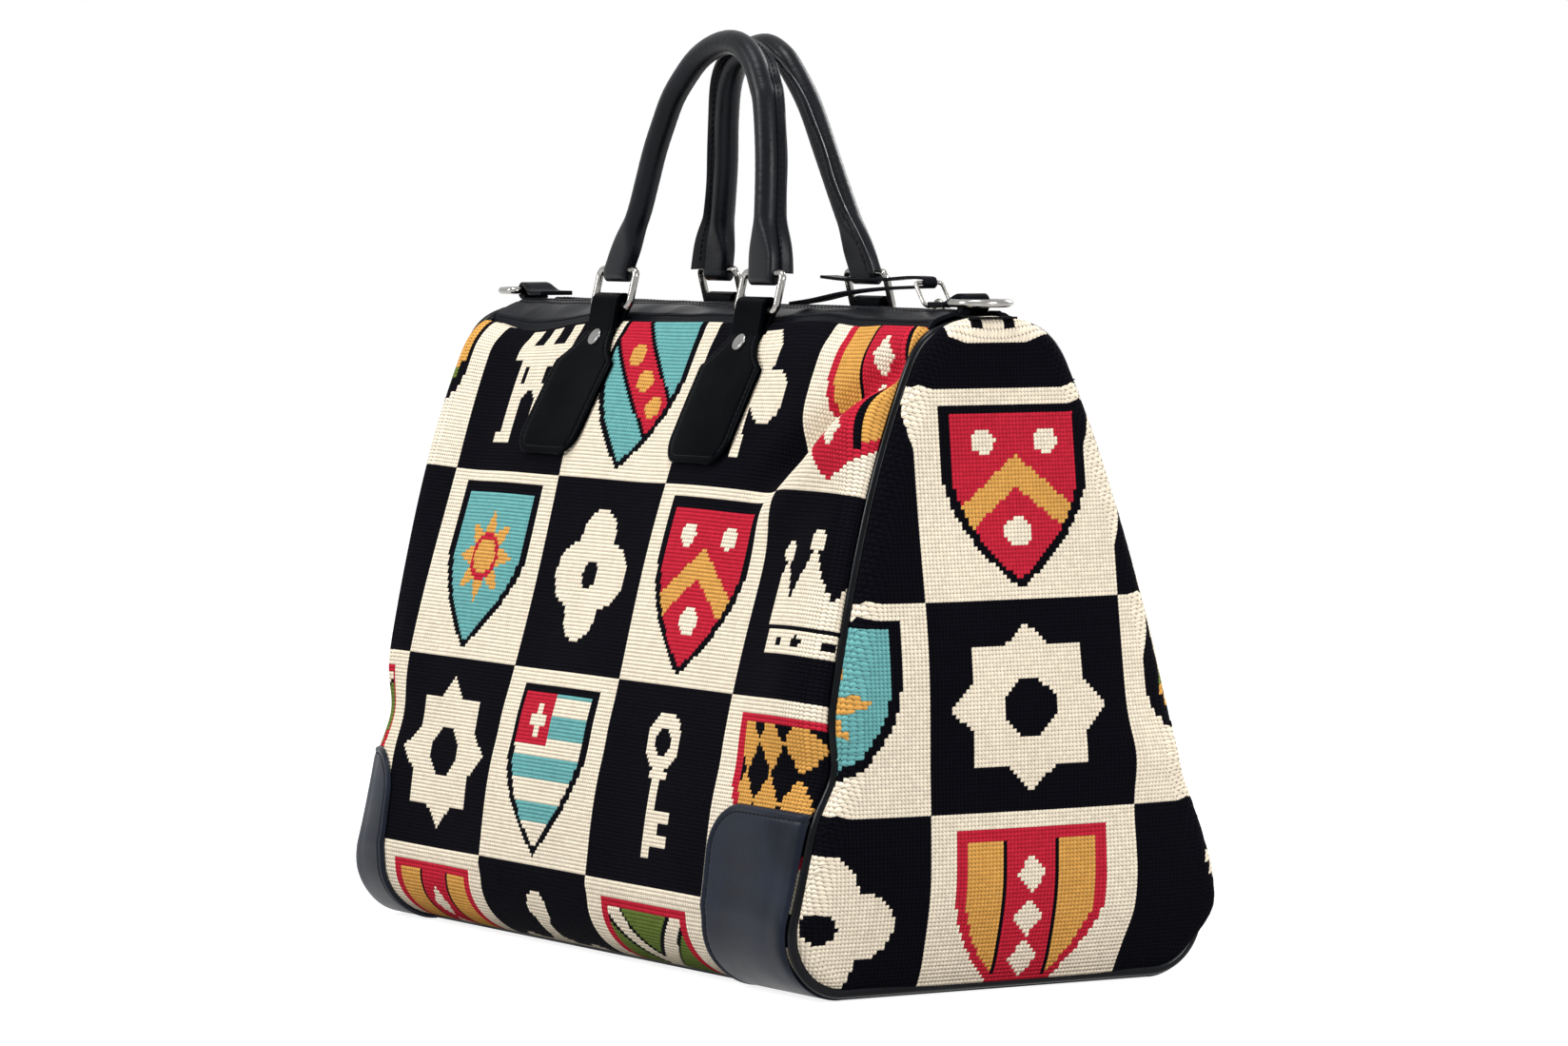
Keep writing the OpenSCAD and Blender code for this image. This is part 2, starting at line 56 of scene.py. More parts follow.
topCurve = np.array([sideCurve[3]] + [shareScale * s for s in form["topShares"]])


def smooth(value, low, high):
    t = np.clip((value - low) / (high - low), 0.0, 1.0)
    return t * t * (3.0 - 2.0 * t)


def hump(distance, width):
    return np.exp(-(distance / width) ** 2)


def unit(v):
    return v / np.maximum(np.linalg.norm(v, axis=-1, keepdims=True), 1e-9)


def runAlong(line):  # length so far at each point of a line
    return np.concatenate([[0], np.cumsum(np.linalg.norm(np.diff(line, axis=0), axis=1))])


def pickAlong(at, run, line):  # the points of a line at given lengths
    return np.stack([np.interp(at, run, line[:, i]) for i in range(line.shape[1])], -1)


def evenSteps(line, count):
    run = runAlong(line)
    return pickAlong(np.linspace(0, run[-1], count), run, line)


def smoothLine(points, count):  # a smooth line through points, at even steps
    p = np.array(points, float)
    ends = np.concatenate([[2 * p[0] - p[1]], p, [2 * p[-1] - p[-2]]])
    t = np.linspace(0, 1, 40, endpoint=False)[:, None]
    fine = []
    for i in range(len(p) - 1):
        a, b, c, d = ends[i:i + 4]
        fine.append(0.5 * (2 * b + (c - a) * t + (2 * a - 5 * b + 4 * c - d) * t ** 2
                           + (3 * b - a - 3 * c + d) * t ** 3))
    fine = np.concatenate(fine + [p[-1:]])
    for _ in range(30):
        fine[1:-1] = 0.25 * fine[:-2] + 0.5 * fine[1:-1] + 0.25 * fine[2:]
    return evenSteps(fine, count)


def bezier(p, t):
    t = t[..., None]
    point = (1 - t) ** 3 * p[0] + 3 * t * (1 - t) ** 2 * p[1] + 3 * t * t * (1 - t) * p[2] + t ** 3 * p[3]
    way = (1 - t) ** 2 * (p[1] - p[0]) + 2 * t * (1 - t) * (p[2] - p[1]) + t * t * (p[3] - p[2])
    return point, way


def pinchAt(z):  # the end seams are drawn in where the corner patches end
    return form["pinch"] * hump(z - form["pinchZ"], form["pinchWide"])


def outlineAt(k):  # 0 to 1 round the base corner, 1 to 2 up the side, 2 to 3 over the top
    k = np.asarray(k, float)
    turn = math.radians(form["baseTurn"]) * np.clip(k, 0, 1)
    corner = baseCentre + form["baseRadius"] * np.stack([np.sin(turn), -np.cos(turn)], -1)
    cornerWay = np.stack([np.cos(turn), np.sin(turn)], -1)
    side, sideWay = bezier(sideCurve, np.clip(k - 1, 0, 1))
    top, topWay = bezier(topCurve, np.clip(k - 2, 0, 1))
    low, mid = (k < 1)[..., None], (k < 2)[..., None]
    point = np.where(low, corner, np.where(mid, side, top))
    way = np.where(low, cornerWay, np.where(mid, sideWay, topWay))
    out = np.stack([way[..., 1], -way[..., 0]], -1)
    out = out / np.linalg.norm(out, axis=-1, keepdims=True)
    return point - out * pinchAt(point[..., 1])[..., None], out


def skin(k, off):
    point, out = outlineAt(k)
    return point + out * np.asarray(off, float)[..., None]


# how the filled bag sags and folds, front and back
soft = {
    "fullness": 7.0, "wave": 1.5, "tabCalm": 34.0, "settle": -12.0, "settleFrom": 90.0, "settleTo": 325.0,
    "puffLean": 5.0, "leanWide": 10.0, "puffDeep": 4.5, "puffHigh": 4.2, "puffWide": 8.0, "puffFade": (9.0, 62.0),
    "leftBulge": 4.0, "bulgeX": 198.0, "bulgeWide": 26.0,
    "creaseFrom": (228.0, 303.0), "creaseTo": (135.0, 245.0), "creaseDepth": 12.5, "creaseAt": 9.0,
    "creaseWide": 11.0, "ridge": 9.0, "ridgeAt": 13.0, "ridgeWide": 17.0,
    "sagX": (-230, -188, -159, -120, -79, -33, 12, 72, 107, 125, 160, 188, 212, 230),
    "sagZ": (-2.5, -8.0, -7.0, -2.4, -1.0, 0.0, 1.0, 2.7, 3.3, 4.2, 0.8, 1.8, 0.3, 2.0),
}
panelWork = {"pitch": 2.03, "overX": 224.8, "lastK": 2.425, "wall": 3.2}


def swellAt(x, k):
    rise = np.sin(np.pi * np.clip((k - form["swellFromK"]) / form["swellRunK"], 0.0, 1.0)).clip(0, 1) ** 1.5
    rise = rise * (0.2 + 0.8 * smooth(k, 0.85, 1.3))
    return form["sideSwell"] * (1 - np.abs(x / form["clothX"]) ** soft["fullness"]).clip(0, 1) * rise


def nearTab(x, k):  # the handle tabs hold the cloth calm
    near = np.maximum(*(hump(x + soft["settle"] - centre, soft["tabCalm"]) for centre in tabX))
    return near * smooth(k, 1.72, 2.0)


def seamPuff(inside):  # cloth swells beside a seam: how far it leans out over the piping, and how far it rises
    lean = soft["puffLean"] * np.sin(np.pi * np.clip(inside / soft["leanWide"], 0, 1))
    rise = np.sqrt(1 - (1 - np.clip(inside / soft["puffWide"], 0, 1)) ** 2)
    return lean, rise


def dentAt(x, k, z, side):
    edge = smooth(form["clothX"] + 1.0 - np.abs(x), 0.0, 16.0)
    high = smooth(k, 0.5, 1.2) * smooth(2.42 - k, 0.0, 0.4)
    wave = (np.sin(0.019 * x + 0.012 * z + 0.7) * np.sin(0.023 * z - 0.4 * side)
            + 0.7 * np.sin(0.037 * x - 0.021 * z + 1.9 * side) + 0.5 * np.sin(0.061 * x + 0.017 * z))
    dent = soft["wave"] * wave * edge * high * (1 - nearTab(x, k))
    bulge = hump(x * -side - soft["bulgeX"], soft["bulgeWide"])
    bulge = bulge * smooth(z, 92.0, 150.0) * smooth(330.0 - z, 10.0, 60.0)
    dent += soft["leftBulge"] * bulge * edge
    if side < 0:  # the fold below the right end of the mouth
        start, end = np.array(soft["creaseFrom"]), np.array(soft["creaseTo"])
        reach = np.linalg.norm(end - start)
        way = (end - start) / reach
        along = ((x - start[0]) * way[0] + (z - start[1]) * way[1]) / reach
        above = (x - start[0]) * way[1] - (z - start[1]) * way[0]
        taper = smooth(along, -0.12, 0.12) * smooth(1.3 - along, 0.0, 0.6)
        near = smooth(form["clothX"] + 1.5 - np.abs(x), 0.0, 9.0)
        dent += taper * near * (soft["ridge"] * hump(above + soft["ridgeAt"], soft["ridgeWide"])
                                - soft["creaseDepth"] * hump(above - soft["creaseAt"], soft["creaseWide"]))
    return dent


sagTableX = np.linspace(-232, 232, 233)
sagFine = np.interp(np.linspace(-260, 260, 261), soft["sagX"], soft["sagZ"])
sagTableZ = np.convolve(sagFine, np.ones(15) / 15, "same")[14:247]


def sagAt(x, k, side):
    flip = x if side < 0 else -x * 0.9
    return np.interp(flip, sagTableX, sagTableZ) * smooth(k, 1.7, 2.4) * (1 - 0.9 * nearTab(x, k))


def clothAt(x, k, off, side):  # a point on the front (side -1) or back (side 1) panel
    point, out = outlineAt(k)
    inside = panelWork["overX"] - np.abs(x)
    share = (0.35 + 0.65 * smooth(k, 1.15, 1.4)) * smooth(k, 0.25, 0.8) * (1 - 0.6 * smooth(k, 2.2, 2.42))
    lean, rise = seamPuff(inside)
    puff = soft["puffHigh"] * rise * (1 - smooth(inside, *soft["puffFade"])) - soft["puffDeep"] * (1 - rise)
    filled = swellAt(x, k) + pinchAt(point[..., 1]) * (1 - np.abs(x / panelWork["overX"]) ** 5)
    p = point + out * (filled - form["seamIn"] + off + puff * share + dentAt(x, k, point[..., 1], side))[..., None]
    return np.stack([x + np.sign(x) * lean * share, side * p[..., 0], p[..., 1] + sagAt(x, k, side)], -1)


def settleAt(z):  # the filled bag leans to its left end as it rises
    return soft["settle"] * smooth(z, soft["settleFrom"], soft["settleTo"])


def settled(p):
    return np.stack([p[..., 0] + settleAt(p[..., 2]), p[..., 1], p[..., 2]], -1)


kTable = np.linspace(0.0, 3.0, 2401)
runTable = runAlong(skin(kTable, -form["seamIn"]))
heightTable = outlineAt(kTable)[0][:, 1]


def runOf(k):
    return np.interp(k, kTable, runTable)


def kOf(run):
    return np.interp(run, runTable, kTable)


# helpers for modelling

def clearSelection():
    if bpy.context.mode != "OBJECT":
        bpy.ops.object.mode_set(mode="OBJECT")
    bpy.ops.object.select_all(action="DESELECT")


def selectOnly(*pieces):  # the first one becomes active
    clearSelection()
    for piece in pieces:
        piece.select_set(True)
    bpy.context.view_layer.objects.active = pieces[0]


def editAll():
    bpy.ops.object.mode_set(mode="EDIT")
    bpy.ops.mesh.select_all(action="SELECT")


def applyModifier(piece, kind, **values):
    bpy.ops.object.modifier_add(type=kind)
    modifier = piece.modifiers[-1]
    for name, value in values.items():
        setattr(modifier, name, value)
    bpy.ops.object.modifier_apply(modifier=modifier.name)


def gridPiece(name, across, along, place, flip=False, close=False, uvSize=(1, 1)):
    clearSelection()
    bpy.ops.mesh.primitive_grid_add(x_subdivisions=across, y_subdivisions=along, size=2)
    piece = bpy.context.object
    piece.name = piece.data.name = name
    co = np.empty(len(piece.data.vertices) * 3, np.float32)
    piece.data.vertices.foreach_get("co", co)
    a = np.rint((co[0::3] + 1) / 2 * across) / across
    b = np.rint((co[1::3] + 1) / 2 * along) / along
    spots = place(a.astype(float), b.astype(float)) * mm
    piece.data.vertices.foreach_set("co", spots.astype(np.float32).ravel())
    uv = piece.data.uv_layers[0].data
    flat = np.empty(len(uv) * 2, np.float32)
    uv.foreach_get("uv", flat)
    uv.foreach_set("uv", (flat.reshape(-1, 2) * np.array(uvSize, np.float32)).ravel())
    piece.data.update()
    editAll()
    if flip:
        bpy.ops.mesh.flip_normals()
    if close:  # a tube: join its long seam, cap its ends and turn its faces out
        bpy.ops.mesh.remove_doubles(threshold=1e-6)
        bpy.ops.mesh.select_all(action="DESELECT")
        bpy.ops.mesh.select_non_manifold(extend=False, use_wire=False, use_multi_face=False,
                                         use_non_contiguous=False, use_verts=False)
        bpy.ops.mesh.fill_holes(sides=0)
        bpy.ops.mesh.select_all(action="SELECT")
        bpy.ops.mesh.normals_make_consistent(inside=False)
    bpy.ops.object.mode_set(mode="OBJECT")
    bpy.ops.object.shade_smooth()
    return piece


def thicken(piece, depth, offset=-1.0, bevel=0.0, rimMaterial=0):
    selectOnly(piece)
    applyModifier(piece, "SOLIDIFY", thickness=depth * mm, offset=offset, use_even_offset=False,
                  material_offset_rim=rimMaterial)
    if bevel:
        applyModifier(piece, "BEVEL", width=bevel * mm, segments=2, limit_method="ANGLE",
                      angle_limit=math.radians(50))
    bpy.ops.object.shade_smooth_by_angle(angle=math.radians(48))


# materials

def linear(colour):
    shares = [c / 255 for c in colour]
    return tuple((s / 12.92) if s < 0.04045 else ((s + 0.055) / 1.055) ** 2.4 for s in shares) + (1.0,)


def feed(tree, socket, value):  # a number or colour is set on the socket, anything else is linked to it
    if isinstance(value, (int, float, tuple)):
        socket.default_value = value
    else:
        tree.links.new(value, socket)


def addNode(tree, kind, inputs, **settings):
    node = tree.nodes.new("ShaderNode" + kind)
    for name, value in settings.items():
        setattr(node, name, value)
    for label, value in inputs.items():
        feed(tree, node.inputs[label], value)
    return node.outputs


def addMath(tree, operation, *values):
    return addNode(tree, "Math", dict(enumerate(values)), operation=operation)[0]


def addRange(tree, *values):  # the value, the range it comes from and the range it goes to
    return addNode(tree, "MapRange", dict(enumerate(values)), interpolation_type="SMOOTHSTEP")[0]


def addNoise(tree, vector, size, detail=3.0, rough=0.55):
    values = {"Vector": vector, "Scale": size, "Detail": detail, "Roughness": rough}
    return addNode(tree, "TexNoise", values)["Fac"]


def addMix(tree, factor, first, second, blend="MIX"):
    return addNode(tree, "Mix", {0: factor, 6: first, 7: second}, data_type="RGBA", blend_type=blend)[2]


def addBump(tree, height, distance, strength):
    return addNode(tree, "Bump", {"Height": height, "Distance": distance, "Strength": strength})[0]


def objectSpot(tree):
    return addNode(tree, "TexCoord", {})["Object"]


def uvSpot(tree):
    return addNode(tree, "UVMap", {}, uv_map="UVMap")[0]


def newGroup(name, inputs, outputs):
    tree = bpy.data.node_groups.new(name, "ShaderNodeTree")
    for way, labels in (("INPUT", inputs), ("OUTPUT", outputs)):
        for label in labels:
            kind = "NodeSocketVector" if label == "Vector" else "NodeSocketFloat"
            tree.interface.new_socket(name=label, in_out=way, socket_type=kind)
    return tree, tree.nodes.new("NodeGroupInput").outputs, tree.nodes.new("NodeGroupOutput").inputs


def makeGrainGroup():  # leather grain: fine pebbles, creases and a drifting tone
    tree, start, end = newGroup("leatherGrain", ("Vector", "Scale", "Crease"), ("Height", "Tone"))
    spot, size = start["Vector"], start["Scale"]
    pebble = addNode(tree, "TexVoronoi", {"Vector": spot, "Scale": size}, feature="SMOOTH_F1")["Distance"]
    wide = addMath(tree, "MULTIPLY", size, 0.11)
    crease = addNode(tree, "TexNoise", {"Vector": spot, "Scale": wide, "Detail": 4.0})["Fac"]
    folds = addMath(tree, "MULTIPLY", crease, start["Crease"])
    feed(tree, end["Height"], addMath(tree, "ADD", addMath(tree, "MULTIPLY", pebble, -0.9), folds))
    feed(tree, end["Tone"], addNoise(tree, spot, 38.0, 4.0))
    return tree


def makeStitchGroup():  # slanted stitches on a unit mesh: height, a mask for the painted shade in the gaps and canvas holes between stitches, and a tone for each stitch
    tree, start, end = newGroup("slantStitch", ("Vector",), ("Height", "Gap", "Tone"))
    slant, halfLong, halfWide = math.radians(36), 0.66, 0.46
    parts = addNode(tree, "SeparateXYZ", {0: start["Vector"]})
    u, v = (addMath(tree, "SUBTRACT", addMath(tree, "FRACT", parts[way]), 0.5) for way in ("X", "Y"))
    squares = []
    for shareU, shareV, half in ((math.cos(slant), math.sin(slant), halfLong),
                                 (-math.sin(slant), math.cos(slant), halfWide)):
        reach = addMath(tree, "ADD", addMath(tree, "MULTIPLY", u, shareU / half),
                        addMath(tree, "MULTIPLY", v, shareV / half))
        squares.append(addMath(tree, "POWER", addMath(tree, "ABSOLUTE", reach), 2.0))
    away = addMath(tree, "SQRT", addMath(tree, "ADD", *squares))
    feed(tree, end["Height"], addRange(tree, away, 0.0, 1.3, 1.0, 0.0))
    # the gap mask: where painted shade darkens the wool between the stitches and in the canvas holes
    feed(tree, end["Gap"], addRange(tree, away, 0.82, 1.34, 0.0, 1.0))
    whole = addNode(tree, "VectorMath", {0: start["Vector"]}, operation="FLOOR")[0]
    feed(tree, end["Tone"], addNode(tree, "TexWhiteNoise", {"Vector": whole}, noise_dimensions="2D")["Value"])
    return tree


grainGroup = makeGrainGroup()
stitchGroup = makeStitchGroup()


def newMaterial(name):
    material = bpy.data.materials.new(name)
    material.use_nodes = True
    return material, material.node_tree


def finishSurface(material, inputs):
    surface = material.node_tree.nodes["Principled BSDF"]
    for label, value in inputs.items():
        feed(material.node_tree, surface.inputs[label], value)
    return material


def makeLeather(name, colour, light, roughLow, roughHigh, grain=1100.0, crease=0.5,
                bumpSize=0.00012, gloss=0.25, wrinkle=0.0):
    material, tree = newMaterial(name)
    values = {"Vector": objectSpot(tree), "Scale": grain, "Crease": crease}
    group = addNode(tree, "Group", values, node_tree=grainGroup)
    height, tone = group["Height"], group["Tone"]
    if wrinkle:  # fine folds across a rolled strip
        stretch = addNode(tree, "Mapping", {"Vector": uvSpot(tree), "Scale": (2.2, 9.0, 1.0)})[0]
        folds = addMath(tree, "MULTIPLY", addNoise(tree, stretch, 1.6, 3.0), wrinkle)
        height = addMath(tree, "ADD", height, folds)
    return finishSurface(material, {
        "Base Color": addMix(tree, addRange(tree, tone, 0.32, 0.7, 0.0, 1.0), linear(colour), linear(light)),
        "Roughness": addRange(tree, tone, 0.3, 0.72, roughLow, roughHigh),
        "Specular IOR Level": gloss, "Normal": addBump(tree, height, bumpSize, 0.6),
    })


def makeNeedlepoint(name):
    look = {"spread": 0.16, "drift": 0.2, "least": 0.88, "gapShadeDepth": 0.92, "fuzz": 0.25, "bump": 0.0009}
    material, tree = newMaterial(name)
    stitch = addNode(tree, "Group", {"Vector": uvSpot(tree)}, node_tree=stitchGroup)
    dye = addNode(tree, "Attribute", {}, attribute_name="wool")["Color"]
    spot = objectSpot(tree)
    fuzz = addMath(tree, "MULTIPLY", addNoise(tree, spot, 2600.0, 2.0), look["fuzz"])
    drift = addMath(tree, "MULTIPLY", addNoise(tree, spot, 24.0, 2.0), look["drift"])
    worn = addMath(tree, "ADD", addMath(tree, "MULTIPLY", stitch["Tone"], look["spread"]), drift)
    # painted shade: the wool colour is darkened in the gaps and canvas holes between stitches
    gapShadeFactor = addMath(tree, "SUBTRACT", 1.0, addMath(tree, "MULTIPLY", stitch["Gap"], look["gapShadeDepth"]))
    shade = addMath(tree, "MULTIPLY", addMath(tree, "ADD", worn, look["least"]), gapShadeFactor)
    grey = addNode(tree, "CombineColor", {0: shade, 1: shade, 2: shade})[0]
    height = addMath(tree, "ADD", stitch["Height"], fuzz)
    return finishSurface(material, {
        "Base Color": addMix(tree, 1.0, dye, grey, "MULTIPLY"), "Roughness": 0.92,
        "Specular IOR Level": 0.025, "Normal": addBump(tree, height, look["bump"], 0.9),
    })


def makeMetal(name, colour, roughLow, roughHigh):
    material, tree = newMaterial(name)
    spot = objectSpot(tree)
    haze = addNoise(tree, spot, 220.0, 4.0, 0.65)
    dull = addRange(tree, haze, 0.35, 0.75, 0.0, 1.0)
    return finishSurface(material, {
        "Base Color": addMix(tree, dull, linear(colour), linear([c * 0.86 for c in colour])),
        "Roughness": addRange(tree, haze, 0.3, 0.75, roughLow, roughHigh), "Metallic": 1.0,
        "Normal": addBump(tree, addNoise(tree, spot, 900.0, 2.0), 0.00002, 0.4),
    })


def makeWeave(name, colour, light, size, depth=0.00025):
    material, tree = newMaterial(name)
    values = {"Vector": objectSpot(tree), "Scale": size, "Distortion": 0.6}
    ribs = [addNode(tree, "TexWave", values, bands_direction=way)["Fac"] for way in ("X", "Y")]
    # the colour follows the weave's height: lighter on the raised ribs and darker in the hollows between them, which
    # is painted shade
    cloth = addMath(tree, "MULTIPLY", *ribs)
    return finishSurface(material, {
        "Base Color": addMix(tree, cloth, linear(colour), linear(light)), "Roughness": 0.85,
        "Specular IOR Level": 0.08, "Normal": addBump(tree, cloth, depth, 0.7),
    })


leather = {
    "trim": makeLeather("trimLeather", (5, 6, 10), (12, 14, 20), 0.28, 0.42, 900.0, 0.5, 0.00012, 0.035),
    "patch": makeLeather("patchLeather", (14, 19, 30), (24, 31, 45), 0.34, 0.46, 1000.0, 0.4, 0.00010, 0.12),
    "piping": makeLeather("pipingLeather", (2, 3, 6), (8, 10, 15), 0.15, 0.27, 900.0, 0.4, 0.00004, 0.12),
    "tab": makeLeather("tabLeather", (1, 2, 4), (4, 6, 9), 0.18, 0.3, 800.0, 0.5, 0.00006, 0.01),
    "handle": makeLeather("handleLeather", (2, 4, 9), (8, 11, 18), 0.33, 0.44, 700.0, 0.9, 0.00006, 0.15, 3.0),
    "edge": makeLeather("cutEdge", (34, 29, 26), (52, 44, 38), 0.6, 0.8, 1500.0, 0.3),
    "base": makeLeather("baseLeather", (18, 19, 23), (30, 32, 37), 0.45, 0.6, 800.0, 0.6),
}
needlepoint = makeNeedlepoint("needlepointWool")
nickel = makeMetal("polishedNickel", (158, 156, 152), 0.12, 0.26)
pewter = makeMetal("rivetPewter", (142, 141, 140), 0.2, 0.34)
zipMetal = makeMetal("zipMetal", (150, 148, 143), 0.24, 0.4)
tapeWeave = makeWeave("zipTape", (12, 12, 14), (30, 30, 33), 420.0)
boardCard = makeWeave("baseCard", (128, 104, 76), (152, 126, 94), 160.0)
thread = makeWeave("sewingThread", (22, 22, 25), (48, 48, 52), 900.0, 0.0001)
print("stage: materials made")


def finishPiece(piece, body, materials, replaced=()):
    piece.data.materials.clear()
    for material in materials:
        piece.data.materials.append(material)
    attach(piece, body)
    if replaced:
        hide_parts(*replaced)


# sewing thread: one stitch is modelled, then copied along a line
sewing = {"step": 3.4, "length": 2.7, "width": 0.95, "height": 0.8, "look": 0.4}
clearSelection()
bpy.ops.mesh.primitive_uv_sphere_add(segments=6, ring_count=5, radius=1, rotation=(0, math.pi / 2, 0))
bpy.ops.object.transform_apply(location=True, rotation=True, scale=True)
editAll()
bpy.ops.transform.resize(value=(sewing["length"] / 2, sewing["width"] / 2, sewing["height"] / 2))
bpy.ops.object.mode_set(mode="OBJECT")
oneStitch = bpy.context.object
stitchPoints = np.array([v.co for v in oneStitch.data.vertices], float)
stitchFaces = sorted(tuple(p.vertices) for p in oneStitch.data.polygons)
bpy.data.objects.remove(oneStitch)


def seamOn(surface, lift):  # a line on a surface, given by its lift, and the outward direction there
    low = surface(lift)
    return low, surface(lift + 1.0) - low


def sewLine(name, lines, body, step=sewing["step"]):  # each line holds points and outward directions, in millimetres
    points, faces = [], []
    for line, out in lines:
        run = runAlong(line)
        count = max(2, int(run[-1] / step))
        at = (np.arange(count) + 0.5) * run[-1] / count
        spot = pickAlong(at, run, line)
        way = unit(pickAlong(at + sewing["look"], run, line) - pickAlong(at - sewing["look"], run, line))
        up = unit(pickAlong(at, run, out))
        over = unit(np.cross(up, way))
        for i in range(count):
            turn = np.stack([way[i], over[i], up[i]])
            faces += [tuple(j + len(points) * len(stitchPoints) for j in f) for f in stitchFaces]
            points.append(spot[i] + stitchPoints @ turn)
    mesh = bpy.data.meshes.new(name)
    mesh.from_pydata((np.concatenate(points) * mm).tolist(), [], faces)
    mesh.polygons.foreach_set("use_smooth", [True] * len(mesh.polygons))
    piece = bpy.data.objects.new(name, mesh)
    bpy.context.scene.collection.objects.link(piece)
    finishPiece(piece, body, [thread])


# needlepoint: a chequer of charges and shields worked stitch by stitch
wool = {"black": (11, 11, 17), "cream": (248, 234, 211), "crimson": (199, 40, 60),
        "teal": (110, 176, 176), "gold": (224, 165, 85), "green": (104, 122, 58)}
black, cream, crimson, teal, gold, green = range(6)
dyes = np.array([linear(c) for c in wool.values()])


def discs(u, v, *places):  # each place is a centre and a radius
    found = np.zeros(u.shape, bool)
    for cu, cv, r in places:
        found |= (u - cu) ** 2 + (v - cv) ** 2 < r * r
    return found


def bar(u, v, half, low, high):
    return (np.abs(u) < half) & (v > low) & (v < high)


def shield(u, v, line, field):
    t = np.clip((0.22 - v) / 1.12, 0, 1)
    inset = np.minimum(0.86 - v, 0.74 * (1 - t ** 1.9) - np.abs(u))
    return np.where(inset < 0, cream, np.where(inset < 0.10, line, field))


def chevronShield(u, v):
    field = np.where(np.abs(v + 0.85 * np.abs(u) - 0.22) < 0.15, gold, crimson)
    balls = discs(u, v, (-0.32, 0.5, 0.12), (0.32, 0.5, 0.12), (0, -0.36, 0.14))
    return shield(u, v, black, np.where(balls, cream, field))


def paleShield(u, v):
    field = np.where(np.abs(u) < 0.24, crimson, gold)
    for c in (0.42, 0.0, -0.4):
        field = np.where(np.abs(u) / 0.15 + np.abs(v - c) / 0.19 < 1, cream, field)
    return shield(u, v, crimson, np.where((np.abs(u) < 0.28) & (np.abs(u) >= 0.24), black, field))


def bendShield(u, v):
    lean = np.abs(u * 0.72 + v * 0.69 - 0.06)
    field = np.where(lean < 0.2, crimson, np.where(lean < 0.25, black, teal))
    balls = discs(u, v, *((-0.69 * s + 0.05, 0.72 * s + 0.04, 0.12) for s in (-0.36, 0.02, 0.4)))
    return shield(u, v, black, np.where(balls, gold, field))


def barryShield(u, v):
    field = np.where(np.floor((v + 1) * 4.6) % 2 == 0, teal, cream)
    field = np.where((u < 0.0) & (v > 0.22), crimson, field)
    du, dv = np.abs(u + 0.29), np.abs(v - 0.47)
    cross = (du < 0.06) & (dv < 0.17) | (dv < 0.06) & (du < 0.17)
    return shield(u, v, black, np.where(cross, cream, field))


def lozengeShield(u, v):
    check = (np.floor(2.7 * u + 1.7 * v + 20) + np.floor(2.7 * u - 1.7 * v + 20)) % 2
    return shield(u, v, crimson, np.where(check == 0, gold, black))


def quarterShield(u, v):
    field = np.where((u > 0) ^ (v > 0.1), green, gold)
    field = np.where(discs(u, v, (0, 0.1, 0.3)), cream, field)
    return shield(u, v, black, np.where(discs(u, v, (0, 0.1, 0.21)), crimson, field))


def sunShield(u, v):
    r, a = np.hypot(u, v - 0.08), np.arctan2(v - 0.08, u)
    rays = r < 0.24 + 0.24 * np.abs(((a * 8 / (2 * np.pi)) % 1) - 0.5) * 2
    field = np.where(rays, gold, teal)
    return shield(u, v, black, np.where((r > 0.19) & (r < 0.25), crimson, field))


def saltireShield(u, v):
    arm = np.abs(np.abs(u) - np.abs(v - 0.12) * 0.9)
    return shield(u, v, crimson, np.where(arm < 0.12, cream, np.where(arm < 0.17, black, green)))


def quatrefoil(u, v):
    leaf = discs(u, v, (0.36, 0, 0.32), (-0.36, 0, 0.32), (0, 0.36, 0.32), (0, -0.36, 0.32))
    return np.where(leaf & ~discs(u, v, (0, 0, 0.14)), cream, black)


def octoStar(u, v):
    total, most = np.abs(u) + np.abs(v), np.maximum(np.abs(u), np.abs(v))
    return np.where(((total < 0.8) | (most < 0.56)) & ~((total < 0.36) & (most < 0.26)), cream, black)


def ballCross(u, v):
    arms = bar(u, v, 0.11, -0.62, 0.62) | bar(v, u, 0.11, -0.62, 0.62)
    balls = discs(u, v, (0.6, 0, 0.18), (-0.6, 0, 0.18), (0, 0.6, 0.18), (0, -0.6, 0.18))
    return np.where(arms | balls | discs(u, v, (0, 0, 0.25)) & ~discs(u, v, (0, 0, 0.1)), cream, black)


def tower(u, v):
    wall = bar(u, v, 0.34, -0.66, 0.3) | bar(u, v, 0.48, 0.26, 0.44) | bar(u, v, 0.46, -0.7, -0.56)
    teeth = bar(u, v, 0.48, 0.4, 0.68) & (np.floor((u + 0.48) / 0.192) % 2 == 0)
    door = (np.abs(u) < 0.13) & (v < -0.24) | discs(u, v, (0, -0.24, 0.13))
    slits = (np.abs(np.abs(u) - 0.2) < 0.05) & (np.abs(v - 0.08) < 0.1)
    return np.where((wall | teeth) & ~(door | slits), cream, black)


def crown(u, v):
    peaks = np.max([0.5 - 1.9 * np.abs(u - c) - 0.25 * abs(c) for c in (-0.5, 0.0, 0.5)], axis=0)
    points = bar(u, v, 0.6, -0.28, peaks) | bar(u, v, 0.54, -0.28, -0.1) | bar(u, v, 0.58, -0.56, -0.34)
    balls = discs(u, v, (0, 0.54, 0.12), (-0.52, 0.42, 0.11), (0.52, 0.42, 0.11))
    gems = discs(u, v, (0, -0.45, 0.06), (-0.3, -0.45, 0.05), (0.3, -0.45, 0.05))
    return np.where((points | balls) & ~gems, cream, black)


